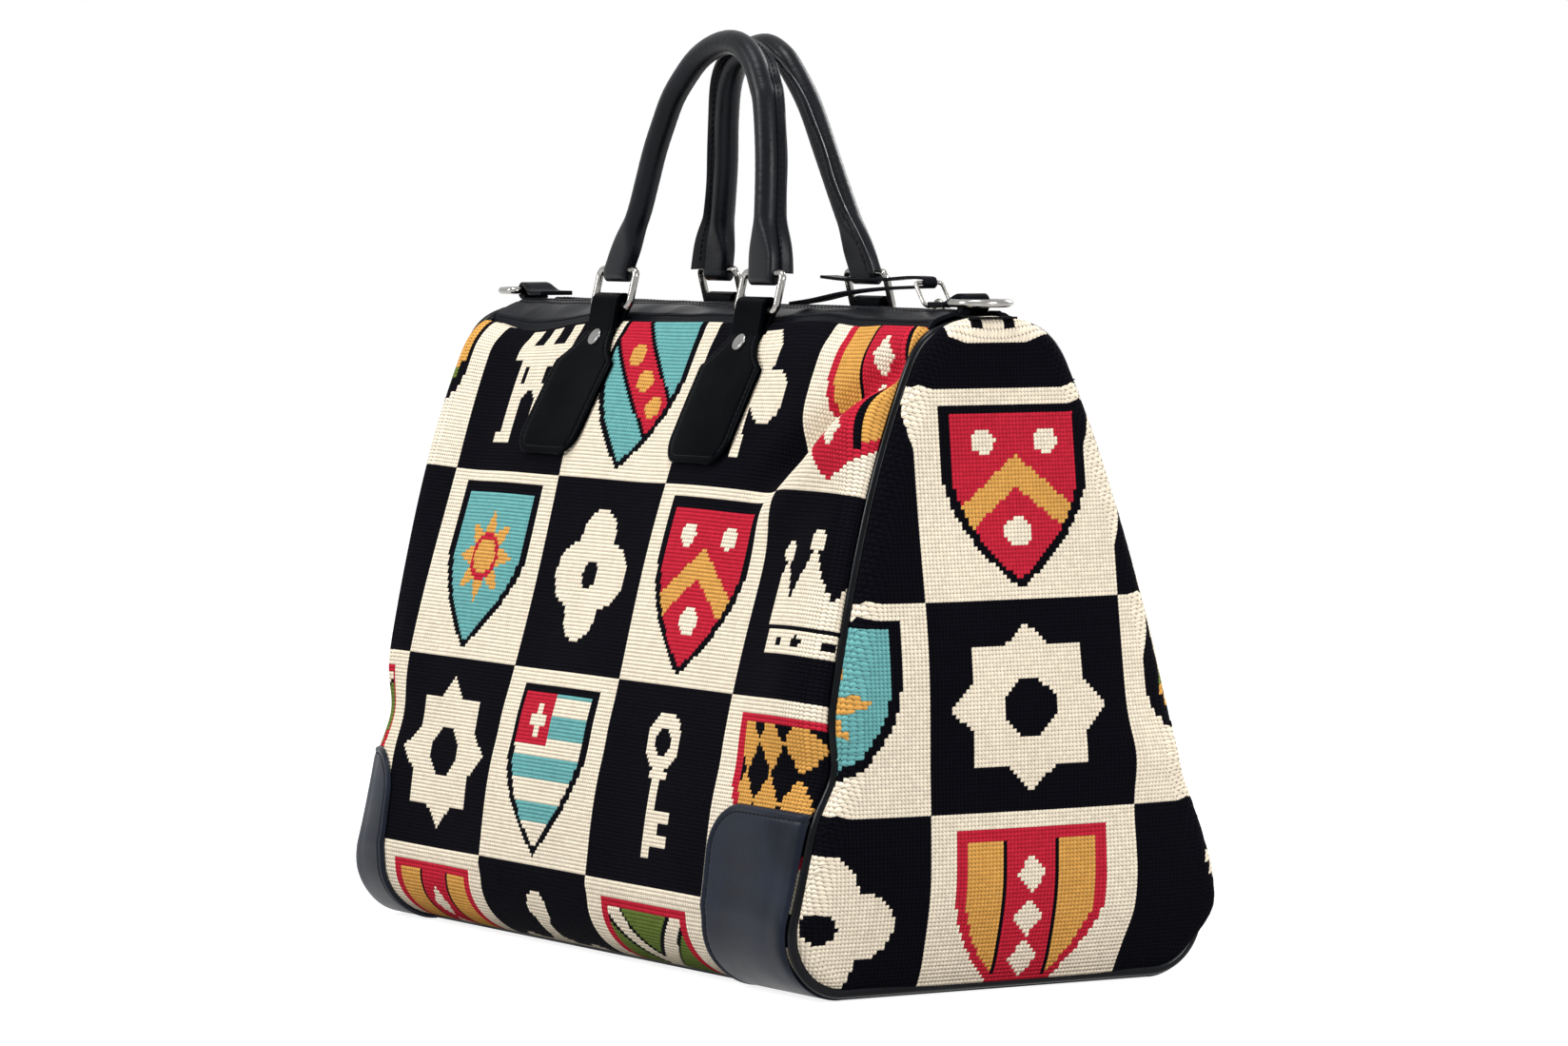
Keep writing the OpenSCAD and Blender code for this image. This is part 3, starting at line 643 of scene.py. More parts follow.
def oldKey(u, v):
    bow = discs(u, v, (0, 0.44, 0.3)) & ~discs(u, v, (0, 0.44, 0.14))
    stem = bar(u, v, 0.08, -0.7, 0.2) | (np.abs(u) < 0.16) & (np.abs(v - 0.1) < 0.05)
    bit = (u > 0) & bar(u, v, 0.36, -0.62, -0.24) & ~((u > 0.18) & (np.abs(v + 0.43) < 0.06))
    return np.where(bow | stem | bit, cream, black)


def trefoil(u, v):
    leaf = discs(u, v, (0, 0.36, 0.29), (-0.34, -0.06, 0.28), (0.34, -0.06, 0.28), (0, 0.08, 0.14))
    stem = bar(u - 0.12 * (v + 0.1) ** 2, v, 0.07, -0.7, 0)
    return np.where(leaf | stem, cream, black)


sideWork = {
    "cellX": 113.5, "cellRun": 103.8, "fromX": -195.0, "fromZ": 44.0, "backShift": 0.35,
    "rows": {  # each row of cells from left to right
        -1: (crown, paleShield, ballCross, saltireShield, tower),
        0: (saltireShield, octoStar, barryShield, oldKey, lozengeShield),
        1: (oldKey, sunShield, quatrefoil, chevronShield, crown),
        2: (quarterShield, tower, bendShield, trefoil, paleShield),
        3: (trefoil, barryShield, octoStar, sunShield, quatrefoil),
    },
}
endWork = {
    "cellX": 115.0, "cellRun": 104.2, "fromX": -50.0, "fromZ": -15.4, "leftShift": 38.0,
    "rows": {0: (quatrefoil, paleShield, oldKey), 1: (sunShield, octoStar, quarterShield),
             2: (trefoil, chevronShield, ballCross), 3: (barryShield, crown, saltireShield)},
}


def dyePanel(piece, work, x, run, startRun):  # a colour for each stitch
    across, up = (x - work["fromX"]) / work["cellX"], (run - startRun) / work["cellRun"]
    c, r = np.floor(across).astype(int), np.floor(up).astype(int)
    u, v = (across - c) * 2 - 1, (up - r) * 2 - 1
    picked = np.full(x.shape, black)
    for row, motifs in work["rows"].items():
        for i, motif in enumerate(motifs):
            here = (r == row) & (c == i - 1)  # a row starts one cell left of fromX
            if here.any():
                picked[here] = motif(u[here], v[here])
    colours = np.repeat(dyes[picked.ravel()], 4, axis=0).astype(np.float32)
    layer = piece.data.color_attributes.new("wool", "FLOAT_COLOR", "CORNER")
    layer.data.foreach_set("color", colours.ravel())


def stitchMesh(across, along):  # the middle of each stitch, as shares of the panel
    return np.meshgrid((np.arange(across) + 0.5) / across, (np.arange(along) + 0.5) / along)


def makeSidePanel(name, side, node):
    across = round(2 * panelWork["overX"] / panelWork["pitch"])
    top = runOf(panelWork["lastK"])
    along = round(top / panelWork["pitch"])
    hand = -side  # seen from outside, columns run left to right

    def place(a, b):
        x = hand * panelWork["overX"] * (2 * a - 1)
        roll = 1.3 * smooth(b, 0.965, 0.988) - 3.4 * smooth(b, 0.988, 1.0)  # the top edge rolls under
        return settled(clothAt(x, kOf(b * top), roll, side))

    piece = gridPiece(name, across, along, place, uvSize=(across, along))
    column, row = stitchMesh(across, along)
    x = panelWork["overX"] * (2 * column - 1)
    startRun = runOf(np.interp(sideWork["fromZ"], heightTable, kTable))
    shift = 0.0 if side < 0 else sideWork["cellX"] * sideWork["backShift"]
    dyePanel(piece, sideWork, x + shift, row * top, startRun)
    thicken(piece, panelWork["wall"])
    finishPiece(piece, "bag", [needlepoint], [node])


endEdge = {"inset": 4.4, "plane": 226.0, "rim": 8.5, "rimWide": 9.0, "dome": 10.5, "lean": 4.6, "leanWide": 10.0,
           "lowBulge": 8.0, "bulgeZ": 50.0, "bulgeWide": 50.0, "area": 0.057}
endLine = skin(np.linspace(0.0, 3.0, 900), -endEdge["inset"])


def endHalfWidth(z):
    return np.interp(z, endLine[:, 1], endLine[:, 0])


def endRim(y, z):  # distance in from the seam and the direction out towards it
    best, out = np.full(y.shape, 1e9), np.zeros(y.shape + (2,))
    spot = np.stack([np.abs(y), z], -1)
    for point in endLine[::3]:
        gap = np.linalg.norm(spot - point, axis=-1)
        near = gap < best
        best = np.where(near, gap, best)
        out = np.where(near[:, None], (point - spot), out)
    out = unit(out)
    return best, np.stack([np.sign(y) * out[:, 0], out[:, 1]], -1)


def endAt(y, z, hand):
    v = np.clip(y / np.maximum(endHalfWidth(z), 1.0), -1, 1)
    rise = np.sin(np.pi * np.clip(z / form["height"], 0, 1) ** 0.6)
    inside, out = endRim(y, z)
    foot = smooth(z, 4.0, 60.0)
    lean = endEdge["lean"] * np.sin(np.pi * np.clip(inside / endEdge["leanWide"], 0, 1)) * (0.25 + 0.75 * foot)
    nearRim = np.minimum(inside, (z - endLine[0, 1]) * 0.5 + 2.0) / endEdge["rimWide"]
    rim = endEdge["rim"] * np.sin(np.pi / 2 * np.clip(nearRim, 0, 1)) * (0.4 + 0.6 * foot)
    dome = endEdge["dome"] * (1 - np.abs(v) ** 3) * rise
    ripple = (1 - v ** 4) * rise * (1.6 * np.sin(0.035 * y + 0.9 * hand) * np.sin(0.021 * z + 0.4)
                                    + 0.9 * np.sin(0.05 * z + 0.02 * y))
    bulge = endEdge["lowBulge"] * hump(z - endEdge["bulgeZ"], endEdge["bulgeWide"]) * smooth(z, 6, 40)
    back = (bulge + 0.8 * pinchAt(z)) * smooth(y, 20.0, 95.0)
    x = hand * (endEdge["plane"] + rim + dome + ripple + 0.5 * back)
    return settled(np.stack([x, y + lean * out[:, 0] + back, z + lean * out[:, 1]], -1))


def makeEndPanel(name, hand, node):
    low, high = endLine[0, 1], endLine[-1, 1]
    wide = endLine[:, 0].max() + 0.2
    across, along = round(2 * wide / panelWork["pitch"]), round((high - low) / panelWork["pitch"])

    def place(a, b):
        z = low + (high - low) * b
        limit = endHalfWidth(z)
        y = hand * wide * (2 * a - 1)
        y = np.where(limit - np.abs(y) < panelWork["pitch"] * 0.45, np.sign(y) * limit, y)
        return endAt(np.clip(y, -limit, limit), z, hand)

    piece = gridPiece(name, across, along, place, uvSize=(across, along))
    column, row = stitchMesh(across, along)
    y = wide * (2 * column - 1) + (0 if hand > 0 else endWork["leftShift"])
    dyePanel(piece, endWork, y, low + (high - low) * row, endWork["fromZ"])
    editAll()
    bpy.ops.mesh.remove_doubles(threshold=2e-5)  # stitches beyond the outline close up
    bpy.ops.object.mode_set(mode="OBJECT")
    thicken(piece, panelWork["wall"])
    finishPiece(piece, "bag", [needlepoint], [node])


for sideName, side in sides:
    makeSidePanel(sideName + "Needlepoint", side, sideName + "_panel")
for handName, hand in (("right", 1), ("left", -1)):
    makeEndPanel(handName + "Needlepoint", hand, handName + "_end_panel")
print("stage: needlepoint panels made")

# piping: a round cord and a narrower fold beside it, sewn into each end seam
piping = {"radius": 2.7, "inset": 3.9, "sink": 2.2, "x": 226.6, "sides": 22, "steps": 150, "footSteps": 50,
          "groove": 0.30, "grooveAt": 3.95, "grooveWide": 0.28}


def makePiping(name, hand, node):
    count = piping["steps"]
    k = np.concatenate([np.linspace(0, 3, count), np.linspace(3, 0, count)[1:]])
    inset = piping["inset"] + piping["sink"] * smooth(k, 2.2, 2.7)
    mirror = np.where(np.arange(len(k)) < count, 1.0, -1.0)
    mirror = np.stack([mirror, np.ones_like(mirror)], -1)
    point, out = outlineAt(k)
    centre, out = (point - out * inset[:, None]) * mirror, out * mirror
    foot = np.linspace(centre[-1], centre[0], piping["footSteps"])[1:-1]  # along the base
    centre = np.concatenate([centre, foot, centre[:1]])
    out = np.concatenate([out, np.tile([0.0, -1.0], (len(foot), 1)), out[:1]])
    steps = len(centre) - 1

    def place(a, b):
        i = np.rint(b * steps).astype(int)
        angle = 2 * np.pi * a
        away = np.angle(np.exp(1j * (angle - piping["grooveAt"])))  # between the cord and the fold beside it
        r = piping["radius"] * (1 - piping["groove"] * hump(away, piping["grooveWide"]))
        p = centre[i] + out[i] * (r * np.cos(angle))[:, None]
        return settled(np.stack([hand * (piping["x"] + r * np.sin(angle)), p[:, 0], p[:, 1]], -1))

    piece = gridPiece(name, piping["sides"], steps, place, close=True, uvSize=(1, 60))
    finishPiece(piece, "bag", [leather["piping"]], [node])


makePiping("rightPiping", 1, "right_piping")
makePiping("leftPiping", -1, "left_piping")

# corner patches: leather laid over the cloth, edges turned and sewn
patch = {
    "fromX": {"frontLeft": 190.0, "frontRight": 147.7, "backLeft": 147.7, "backRight": 147.7},
    "toX": 224.4, "topK": 1.23, "corner": 26.0, "thick": 1.7, "sewIn": 4.2, "sewLift": 1.75, "mesh": (56, 64),
}
patchRun = runOf(patch["topK"])


def patchInset(x, run, fromX):  # how far inside the patch's free edges
    dx, dz = x - fromX, patchRun - run
    inCorner = patch["corner"] - np.hypot(patch["corner"] - dx, patch["corner"] - dz)
    return np.where((dx < patch["corner"]) & (dz < patch["corner"]), inCorner, np.minimum(dx, dz))


def makePatch(name, hand, side, node, fromX):
    def place(a, b):
        run = patchRun * (1 - (1 - b) ** 1.7)
        d = np.maximum(0, patch["corner"] - (patchRun - run))
        left = fromX + patch["corner"] - np.sqrt(np.maximum(0, patch["corner"] ** 2 - d * d))
        x = left + (patch["toX"] - left) * a ** 1.7
        inset = patchInset(x, run, fromX)
        lift = (0.5 + patch["thick"] * smooth(inset, -0.6, 1.5) + 0.35 * hump(inset - 2.2, 1.3)
                - 0.55 * hump(inset - patch["sewIn"], 0.8))
        return clothAt(hand * x, kOf(run), lift, side)

    piece = gridPiece(name, *patch["mesh"], place, flip=hand * side > 0)
    thicken(piece, patch["thick"])
    finishPiece(piece, "bag", [leather["patch"]], [node])
    inner, c = patch["sewIn"], patch["corner"]
    line = [(x, patchRun - inner) for x in np.linspace(patch["toX"] - 1, fromX + c, 24)]
    line += [(fromX + c - (c - inner) * math.sin(t), patchRun - c + (c - inner) * math.cos(t))
             for t in np.linspace(0, math.pi / 2, 14)]
    line += [(fromX + inner, r) for r in np.linspace(patchRun - c, 1, 40)]
    x, run = np.array(line).T
    seam = seamOn(lambda lift: clothAt(hand * x, kOf(run), lift, side), patch["sewLift"])
    sewLine(name + "Stitches", [seam], "bag")


for sideName, side in sides:
    for handName, hand in (("Left", -1), ("Right", 1)):
        corner = sideName + handName
        makePatch(corner + "Patch", hand, side, f"{sideName}_{handName.lower()}_patch", patch["fromX"][corner])

# leather strips beside the zip
facing = {"fromK": 2.385, "toK": 2.875, "edgeK": 2.4, "reachX": 224.6, "sewX": 220.0, "thick": 2.0, "sink": 0.36,
          "tuck": 2.3, "dip": 0.9, "rows": (0.17, 0.76, 0.90), "groove": 0.35, "sewLift": -0.1, "mesh": (170, 40)}


def facingAt(x, q, lift, side):
    k = facing["fromK"] + (facing["toK"] - facing["fromK"]) * q
    tucked = facing["tuck"] * (1 - smooth(q, 0.0, 0.22))
    off = -facing["sink"] - tucked - facing["dip"] * smooth(q, 0.96, 1.0) + lift
    ripple = 0.8 * np.sin(0.045 * x + side) * np.sin(np.pi * q) + 0.5 * np.sin(0.11 * x) * np.sin(np.pi * q)
    p = skin(k, off)
    sag = sagAt(x, np.full_like(x, facing["edgeK"]), side) * (1 - q) ** 1.1
    return settled(np.stack([x, side * p[..., 0], p[..., 1] + sag - np.abs(ripple) * 0.8], -1))


def makeFacing(name, side, node):
    def place(a, b):
        x = -side * facing["reachX"] * (2 * a - 1)
        groove = sum(-facing["groove"] * hump((b - q) * 26, 0.6) for q in facing["rows"])
        return facingAt(x, b, groove, side)

    piece = gridPiece(name, *facing["mesh"], place)
    thicken(piece, facing["thick"])
    finishPiece(piece, "bag", [leather["trim"]], [node])
    x = np.linspace(-facing["sewX"], facing["sewX"], 200)
    lines = [seamOn(lambda lift: facingAt(x, np.full_like(x, q), lift, side), facing["sewLift"])
             for q in facing["rows"]]
    sewLine(name + "Stitches", lines, "bag")


for sideName, side in sides:
    makeFacing(sideName + "ZipStrip", side, sideName + "_zip_facing")
print("stage: piping, patches and zip strips made")

# handle tabs: a paddle on the cloth and a neck folded round the ring's lower bar
tab = {
    "fromK": 1.82, "shoulderK": 1.985, "flattenK": 2.02, "rivetK": 2.13, "leaveK": 2.2,
    "halfWide": 30.0, "halfNeck": 13.2, "corner": 14.0, "flare": 22.0, "thick": 2.6, "lift": 1.7,
    "bar": (35.47, 332.58), "loop": 3.7, "loopTurn": 190.0, "slack": 2.4, "slackLean": 14.0, "tailIn": 2.4,
    "sewIn": 3.2, "sewLift": 2.6, "sewStep": 3.0, "vee": ((-12.6, 7.0), (0.0, 15.0), (12.6, 7.0)),
    "lean": {"frontLeft": 15.0, "frontRight": 8.0, "backLeft": -5.0, "backRight": 4.0},
}
tabLow, tabLeave, tabRivet = (runOf(tab[name]) for name in ("fromK", "leaveK", "rivetK"))


def tabLean(run, lean):  # the paddle hangs a little askew below its rivet
    return -lean * np.clip((tabRivet - run) / (tabRivet - tabLow), 0, 1) ** 1.2


def tabHalf(run):  # half width of the tab at a run along the cloth
    c = tab["corner"]
    foot = tab["halfWide"] - c + np.sqrt(np.maximum(0, c ** 2 - np.maximum(0, c - (run - tabLow)) ** 2))
    above = np.clip((run - runOf(tab["shoulderK"])) / tab["flare"], 0, 1)
    neck = tab["halfNeck"] + (tab["halfWide"] - tab["halfNeck"]) * (1 - above) ** 2.2
    return np.minimum(foot, neck)


def underTab(x, k, off, side):
    spot = clothAt(x - settleAt(outlineAt(k)[0][..., 1]), k, off, side)
    return np.stack([x, spot[..., 1], spot[..., 2]], -1)


def tabLoop(centre, side):  # depth and height of the neck: from the cloth over the ring's bar and back beneath
    start = underTab(np.array([centre]), np.array([tab["leaveK"]]), tab["lift"], side)[0]
    s = np.array([abs(start[1]), start[2]])
    lean = math.radians(tab["slackLean"])
    crest = np.array(tab["bar"]) + tab["slack"] * np.array([-math.sin(lean), math.cos(lean)])
    way = unit(crest - s)
    out = np.array([way[1], -way[0]])
    arc = math.atan2(out[1], out[0]) + np.linspace(0, math.radians(tab["loopTurn"]), 26)
    ring = crest + tab["loop"] * np.stack([np.cos(arc), np.sin(arc)], -1)
    rise = s + (ring[0] - s) * np.linspace(0, 1, 10)[1:-1, None]
    tail = ring[-1] + (s - out * tab["tailIn"] - ring[-1]) * np.linspace(0, 0.8, 8)[1:, None]
    return np.concatenate([rise, ring, tail])


def makeTab(name, centre, side, node, lean):
    rows = tabLow + (tabLeave - tabLow) * np.linspace(0, 1, 46) ** 1.15
    loop = tabLoop(centre, side)
    count = len(rows) + len(loop)

    def place(a, b):
        i = np.rint(b * (count - 1)).astype(int)
        onCloth = i < len(rows)
        run = rows[np.minimum(i, len(rows) - 1)]
        half = np.where(onCloth, tabHalf(run), tab["halfNeck"])
        s = 2 * a - 1
        s = np.sign(s) * (1 - (1 - np.abs(s)) ** 1.35)  # closer rows near the edges
        x = centre + half * s + tabLean(run, lean)
        k = kOf(run)
        inset = np.minimum(half * (1 - np.abs(s)), run - tabLow)
        sewn = 0.45 * hump(inset - tab["sewIn"], 0.7) * onCloth
        lift = tab["lift"] - sewn - 0.5 * (1 - smooth(inset, -0.2, 1.4)) * onCloth
        w = smooth(k, tab["flattenK"], tab["leaveK"])[:, None]
        flat = underTab(x, k, lift, side) * (1 - w) + underTab(np.full_like(x, centre), k, lift, side) * w
        spot = loop[np.clip(i - len(rows), 0, len(loop) - 1)]
        neck = np.stack([x, side * spot[:, 0], spot[:, 1]], -1)
        return np.where(onCloth[:, None], np.stack([x, flat[:, 1], flat[:, 2]], -1), neck)

    piece = gridPiece(name, 30, count - 1, place, flip=side > 0)
    thicken(piece, tab["thick"], 0.0, 0.35, 1)
    finishPiece(piece, "bag", [leather["tab"], leather["edge"]], [node])
    c, inner = tab["corner"], tab["sewIn"]
    edge = [(tabHalf(r) - inner, r) for r in np.linspace(tabLeave, tabLow + c, 50)]
    edge += [(tab["halfWide"] - c + (c - inner) * math.cos(t), tabLow + c - (c - inner) * math.sin(t))
             for t in np.linspace(0, math.pi / 2, 12)]
    edge = np.array(edge + [(0.0, tabLow + inner)])
    vee = evenSteps(np.array([(dx, tabRivet - down) for dx, down in tab["vee"]]), 30)
    lines = []
    for dx, run in (edge.T, (edge * (-1, 1)).T, vee.T):
        x, k = centre + dx + tabLean(run, lean), kOf(run)
        lines.append(seamOn(lambda lift: underTab(x, k, lift, side), tab["sewLift"]))
    sewLine(name + "Stitches", lines, "bag", tab["sewStep"])


# rivets: a flat cap with a rounded rim
rivetCap = {"radius": 4.9, "height": 2.2, "rim": 0.8, "lip": 0.5, "slope": 1.2, "dish": 0.25, "sink": 3.2}


def makeRivet(name, centre, side, node):
    x, k = np.array([centre]), np.array([tab["rivetK"]])
    spot, way = (p[0] for p in seamOn(lambda lift: underTab(x, k, lift, side), rivetCap["sink"]))
    clearSelection()
    bpy.ops.mesh.primitive_cylinder_add(vertices=40, radius=rivetCap["radius"] * mm, depth=rivetCap["height"] * mm)
    piece = bpy.context.object
    piece.name = piece.data.name = name
    applyModifier(piece, "BEVEL", width=rivetCap["rim"] * mm, segments=4, limit_method="ANGLE")
    for face in piece.data.polygons:
        face.select = face.normal.z > 0.99 and face.center.z > 0
    bpy.ops.object.mode_set(mode="EDIT")
    bpy.ops.mesh.select_mode(type="FACE")
    bpy.ops.mesh.inset(thickness=rivetCap["lip"] * mm, depth=-rivetCap["dish"] * mm)
    bpy.ops.mesh.inset(thickness=rivetCap["slope"] * mm, depth=rivetCap["dish"] * 0.6 * mm)
    bpy.ops.mesh.select_mode(type="VERT")
    bpy.ops.object.mode_set(mode="OBJECT")
    piece.rotation_euler = Vector(way).to_track_quat("Z", "Y").to_euler()
    piece.location = Vector(spot * mm)
    bpy.ops.object.transform_apply(location=True, rotation=True, scale=True)
    bpy.ops.object.shade_smooth_by_angle(angle=math.radians(40))
    finishPiece(piece, "bag", [pewter], [node])


for sideName, side in sides:
    for handName, centre in (("Left", tabX[0]), ("Right", tabX[1])):
        node, corner = f"{sideName}_{handName.lower()}_", sideName + handName
        makeTab(corner + "Tab", centre, side, node + "tab", tab["lean"][corner])
        makeRivet(corner + "Rivet", centre, side, node + "rivet")
print("stage: handle tabs and rivets made")

# rolled handles: a padded tube with a sewn fin, flattened round the rings at both ends
handle = {
    "bar": (30.63, 351.99), "lean": 7.0, "radius": 6.5, "endHalf": 11.4, "endThick": 4.2, "endSlack": 2.2,
    "flat": 6.0, "round": 30.0, "endRun": 44.0, "sides": 28, "crinkle": 0.006, "sewStep": 3.6, "sewUp": 1.5,
    "fin": 4.2, "finThick": 2.6, "finFlare": 4.0, "finTurn": 50.0, "finEndTurn": 20.0, "archEase": 0.65,
    "finRoot": 2.5, "finFrom": 0.5, "finWave": 0.5,
    "front": ((-97, 0), (-90.5, 13.8), (-82, 30.3), (-77, 46.7), (-72.3, 63), (-66.4, 77), (-59.3, 91),
              (-49.2, 102), (-36.5, 112), (-20.6, 118.2), (-4, 120), (10, 116.4), (22.4, 107.5), (30.5, 97),
              (36.3, 87), (43.5, 62.5), (48, 38), (51, 13.6), (53, 0)),
    "back": ((-97, 0), (-92.5, 12.2), (-86.5, 27.6), (-77.2, 55.6), (-71, 81), (-63, 101), (-48.6, 114),
             (-24.3, 119), (-8, 113.6), (2, 104.5), (15, 87), (26, 62.8), (37, 38), (46, 18.2), (53, 0)),
}


def makeHandle(name, side):
    lean = math.radians(handle["lean"])
    line = smoothLine(handle[name], 241)
    run = runAlong(line)
    total, endRun = run[-1], handle["endRun"]
    t = np.linspace(0, 1, 60)
    tip = -handle["endSlack"] - handle["endThick"] * np.cos(np.linspace(0.1, math.pi / 2, 9))
    ends = np.concatenate([tip, np.linspace(-handle["endSlack"], 0, 4)[1:-1], endRun * t ** 1.2])
    at = np.concatenate([ends, np.linspace(endRun, total - endRun, 190)[1:-1], (total - ends)[::-1]])
    toward = np.array([0, -side * math.cos(lean), -math.sin(lean)])  # toward the other handle
    alongX, upWay = np.array([1.0, 0, 0]), np.array([0, -side * math.sin(lean), math.cos(lean)])
    origin = np.array([0, side * handle["bar"][0], handle["bar"][1]])

    def centreAt(s):  # centre, direction out of the arch and distance from the nearer end
        inside = np.clip(s, 0, total)
        p = pickAlong(inside, run, line)
        ahead, behind = np.clip(inside + 1.0, 0, total), np.clip(inside - 1.0, 0, total)
        way = unit(pickAlong(ahead, run, line) - pickAlong(behind, run, line))
        sign = np.where(inside < total / 2, 1.0, -1.0)[:, None]
        w = smooth(np.minimum(inside, total - inside), 4.0, 30.0)[:, None]
        way = unit(way * w + np.array([0.0, 1.0]) * sign * (1 - w))
        p = p + way * (s - inside)[:, None]
        centre = origin + p[:, :1] * alongX + p[:, 1:] * upWay
        outward = -way[:, 1:] * alongX + way[:, :1] * upWay
        return centre, outward, np.minimum(s, total - s)

    def sectionAt(end):  # half sizes and squareness of the tube's section
        r = smooth(end, handle["flat"], handle["round"])
        halfOut = handle["endHalf"] + (handle["radius"] - handle["endHalf"]) * r
        halfIn = handle["endThick"] + (handle["radius"] - handle["endThick"]) * r
        return halfOut, halfIn, 2 + 3.0 * (1 - r)

    def tubePlace(a, b):
        s, angle = at[np.rint(b * (len(at) - 1)).astype(int)], 2 * np.pi * a
        centre, outward, end = centreAt(s)
        halfOut, halfIn, power = sectionAt(end)
        c, n = np.cos(angle), np.sin(angle)
        past = np.minimum(end + handle["endSlack"], 0) / handle["endThick"]
        close = np.sqrt(np.clip(1 - past ** 2, 0.002, 1))
        ripple = np.sin(s * 1.3 + 2 * np.sin(angle * 2)) * np.sin(s * 0.23)
        crinkle = 1 + handle["crinkle"] * ripple * smooth(end, 10, 40)
        y = np.sign(c) * np.abs(c) ** (2 / power) * halfIn * close * crinkle
        x = np.sign(n) * np.abs(n) ** (2 / power) * halfOut * crinkle
        return centre + toward * y[:, None] + outward * x[:, None]

    def finAt(s):  # the sewn edge: its root on the tube, its reach, its two directions and its wave
        centre, outward, end = centreAt(s)
        eased = 1 - handle["archEase"] * smooth(outward[:, 2], 0.35, 0.95)
        turn = np.radians(handle["finTurn"] * eased + handle["finEndTurn"] * (1 - smooth(end, 4, 42)))
        finWay = toward * np.cos(turn)[:, None] + outward * np.sin(turn)[:, None]
        thickWay = outward * np.cos(turn)[:, None] - toward * np.sin(turn)[:, None]
        halfOut, halfIn, power = sectionAt(end)
        root = ((np.sin(turn) / halfOut) ** power + (np.cos(turn) / halfIn) ** power) ** (-1 / power)
        reach = root + handle["fin"] + handle["finFlare"] * (1 - smooth(end, 0, 46)) ** 1.6
        wave = handle["finWave"] * np.sin(s * 0.17) * smooth(end, 10, 60)
        return centre, finWay, thickWay, root, reach, wave

    finEnd = handle["finFrom"] + (endRun - handle["finFrom"]) * t ** 1.1
    finRuns = np.concatenate([finEnd, np.linspace(endRun, total - endRun, 170)[1:-1], (total - finEnd)[::-1]])
    corners = np.array([(0.0, -1), (0.86, -1), (0.96, -0.75), (1.0, 0.0),
                        (0.96, 0.75), (0.86, 1), (0.0, 1), (0.0, -1)])

    def finPlace(a, b):
        s = finRuns[np.rint(b * (len(finRuns) - 1)).astype(int)]
        corner = corners[np.rint(a * (len(corners) - 1)).astype(int)]
        centre, finWay, thickWay, root, reach, wave = finAt(s)
        out = root - handle["finRoot"] + (reach - root + handle["finRoot"]) * corner[:, 0]
        aside = handle["finThick"] / 2 * corner[:, 1] + wave * corner[:, 0]
        return centre + finWay * out[:, None] + thickWay * aside[:, None]

    tube = gridPiece(name + "Handle", handle["sides"], len(at) - 1, tubePlace, close=True, uvSize=(1, 12))
    fin = gridPiece(name + "Fin", len(corners) - 1, len(finRuns) - 1, finPlace, close=True)
    selectOnly(tube, fin)
    bpy.ops.object.join()
    bpy.ops.object.shade_smooth_by_angle(angle=math.radians(50))
    finishPiece(tube, name + "_handle", [leather["handle"]], [name + "_handle"])
    centre, finWay, thickWay, root, reach, wave = finAt(np.linspace(5, total - 5, 320))
    seam = centre + finWay * (root + handle["sewUp"])[:, None]
    lines = [(seam + thickWay * (hand * handle["finThick"] * 0.52 + wave * 0.6)[:, None], thickWay * hand)
             for hand in (-1, 1)]
    sewLine(name + "HandleStitches", lines, name + "_handle", handle["sewStep"])


for sideName, side in sides:
    makeHandle(sideName, side)
print("stage: handles made")


def makeStrap(name, line, wide, thick, body, node):  # a flat strap along a line of points
    wide = np.interp(np.linspace(0, 1, len(line)), np.linspace(0, 1, len(wide)), wide)
    along = len(line) - 1

    def place(a, b):
        i = np.rint(b * along).astype(int)
        return line[i] + np.array([0.0, 1.0, 0.0]) * (wide[i] * (a - 0.5))[:, None]

    piece = gridPiece(name, 8, along, place)
    thicken(piece, thick, 0.0, 0.3)
    finishPiece(piece, body, [leather["trim"]], [node])


def bendRound(x, z, radius, angles):
    return [(x + radius * math.cos(a), 0, z + abs(radius) * math.sin(a)) for a in angles]


# end tabs fold round the bars of the D-rings
endTab = {"barX": {"left": -246.0, "right": 202.0}, "barZ": 338.6, "plateZ": 337.6, "plate": (26.0, 2.0),
          "loop": 3.6, "thick": 2.4, "wide": (20.0, 20.0, 15.0, 15.0)}
for handName, hand in (("left", -1), ("right", 1)):
    barX, plateZ = endTab["barX"][handName], endTab["plateZ"]
    turn = np.linspace(math.pi * 0.56, -math.pi * 0.75, 26)
    over = bendRound(barX, endTab["barZ"], hand * endTab["loop"], turn)
    lie = [(barX - hand * d, 0, plateZ + (over[0][2] - plateZ) * float(1 - smooth(d, 1.0, 13.0)))
           for d in np.linspace(*endTab["plate"], 14)]
    makeStrap(handName + "EndTab", evenSteps(np.array(lie + over), 48), endTab["wide"], endTab["thick"],
              "bag", handName + "_end_tab")

# zip pull: a folded leather lace, one tail straight and one that droops to the front
pull = {
    "bar": (161.36, 348.14), "loop": 2.2, "thick": 1.6, "wide": (7.5, 7.5, 8.5, 10.0, 10.5),
    "upper": ((161.0, 0, 350.4), (148, 0, 350.6), (120, 0, 349.2), (90, 0, 348.8), (66, 0, 350.0)),
    "lower": ((161.0, 0, 346.0), (148, -1, 345.6), (126, -5, 344.6), (104, -11, 342.4), (84, -17, 338.6),
              (68, -20, 336.6)),
}
lace = np.concatenate([smoothLine(pull["upper"], 40)[::-1],
                       bendRound(*pull["bar"], pull["loop"], np.linspace(math.pi / 2, -math.pi / 2, 12)),
                       smoothLine(pull["lower"], 44)])
makeStrap("zipPullLace", evenSteps(lace, 110), pull["wide"][::-1] + pull["wide"], pull["thick"],
          "pull", "zip_pull_strap")
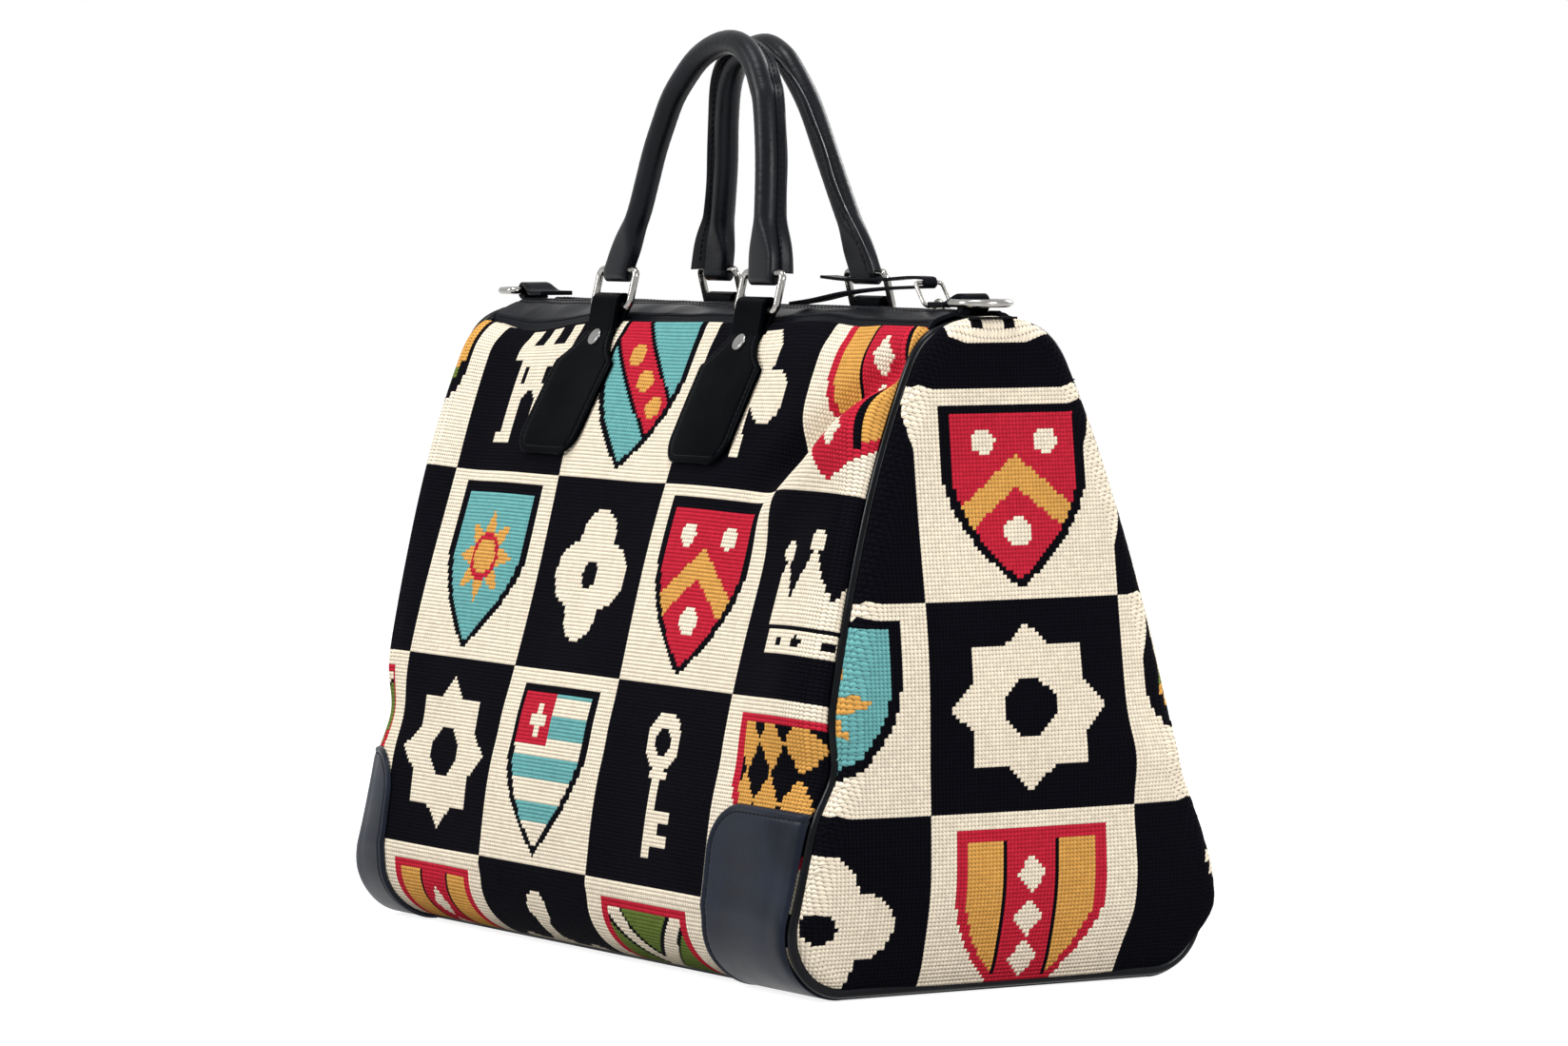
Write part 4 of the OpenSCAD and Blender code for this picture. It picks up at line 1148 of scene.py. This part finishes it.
print("stage: end tabs and zip pull made")

# finishes of the rigid pieces that stay as they are
nodeFinish = {
    nickel: ["left_d_ring", "right_d_ring"] + [f"{s}_{h}_ring" for s in ("front", "back") for h in ("left", "right")],
    zipMetal: ["front_zip_teeth", "back_zip_teeth", "zip_slider", "zip_puller"],
    tapeWeave: ["front_zip_tape", "back_zip_tape"],
    leather["base"]: ["base_panel"],
    boardCard: ["base_board"],
}
for material, names in nodeFinish.items():
    for nodeName in names:
        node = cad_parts[nodeName]
        node.data.materials.clear()
        node.data.materials.append(material)

# plain studio: white floor that keeps the shadow, soft lamps
studio = {
    "floorGlow": 0.86, "floorTone": 0.42, "floorSize": 60.0, "floorZ": -0.0005, "worldLight": 0.38,
    "lampTarget": (0, 0, 0.2),
    "lamps": (("key", (-0.9, -2.7, 1.9), 1.0, 65.0), ("fill", (2.6, 0.5, 1.3), 0.9, 46.0),
              ("above", (0.1, -0.5, 2.4), 0.7, 28.0), ("back", (-0.7, 2.7, 1.6), 1.2, 56.0)),
}


def seenDirect(tree):  # 1 for camera, glossy and transmission rays
    path = addNode(tree, "LightPath", {})
    seen = addMath(tree, "MAXIMUM", path["Is Camera Ray"], path["Is Glossy Ray"])
    return addMath(tree, "MAXIMUM", seen, path["Is Transmission Ray"])


def aimAt(thing, target):
    thing.rotation_euler = (Vector(target) - thing.location).to_track_quat("-Z", "Y").to_euler()


world = bpy.data.worlds.new("studio")
bpy.context.scene.world = world
world.use_nodes = True
tree, sky = world.node_tree, world.node_tree.nodes["Background"]
sky.inputs[0].default_value = (1, 1, 1, 1)
feed(tree, sky.inputs[1], addRange(tree, seenDirect(tree), 0.0, 1.0, studio["worldLight"], 1.0))

clearSelection()
bpy.ops.mesh.primitive_plane_add(size=studio["floorSize"], location=(0, 0, studio["floorZ"]))
floor = bpy.context.object
floor.name = "studioFloor"
floorMaterial, tree = newMaterial("studioFloor")
tree.nodes.clear()
tint = addNode(tree, "BsdfDiffuse", {0: (studio["floorTone"],) * 3 + (1,)})[0]
glow = addNode(tree, "Emission", {1: addRange(tree, seenDirect(tree), 0.0, 1.0, 0.0, studio["floorGlow"])})[0]
addNode(tree, "OutputMaterial", {0: addNode(tree, "AddShader", {0: tint, 1: glow})[0]})
floor.data.materials.append(floorMaterial)

for lampName, place, size, power in studio["lamps"]:
    bpy.ops.object.light_add(type="AREA", location=place)
    lamp = bpy.context.object
    lamp.name = lampName + "Lamp"
    lamp.data.shape, lamp.data.size, lamp.data.energy = "SQUARE", size, power
    aimAt(lamp, studio["lampTarget"])

camera = {"place": (2.8585, -1.7179, 0.3953), "target": (0.00588, 0.00971, 0.2205), "lens": 146.6, "sensor": 36.0}
bpy.ops.object.camera_add(location=camera["place"])
cameraObject = bpy.context.object
aimAt(cameraObject, camera["target"])
cameraObject.data.lens, cameraObject.data.sensor_width = camera["lens"], camera["sensor"]
cameraObject.data.clip_end = 100
bpy.context.scene.camera = cameraObject
bpy.context.scene.view_settings.view_transform = "Standard"
print("stage: studio set")

clearSelection()
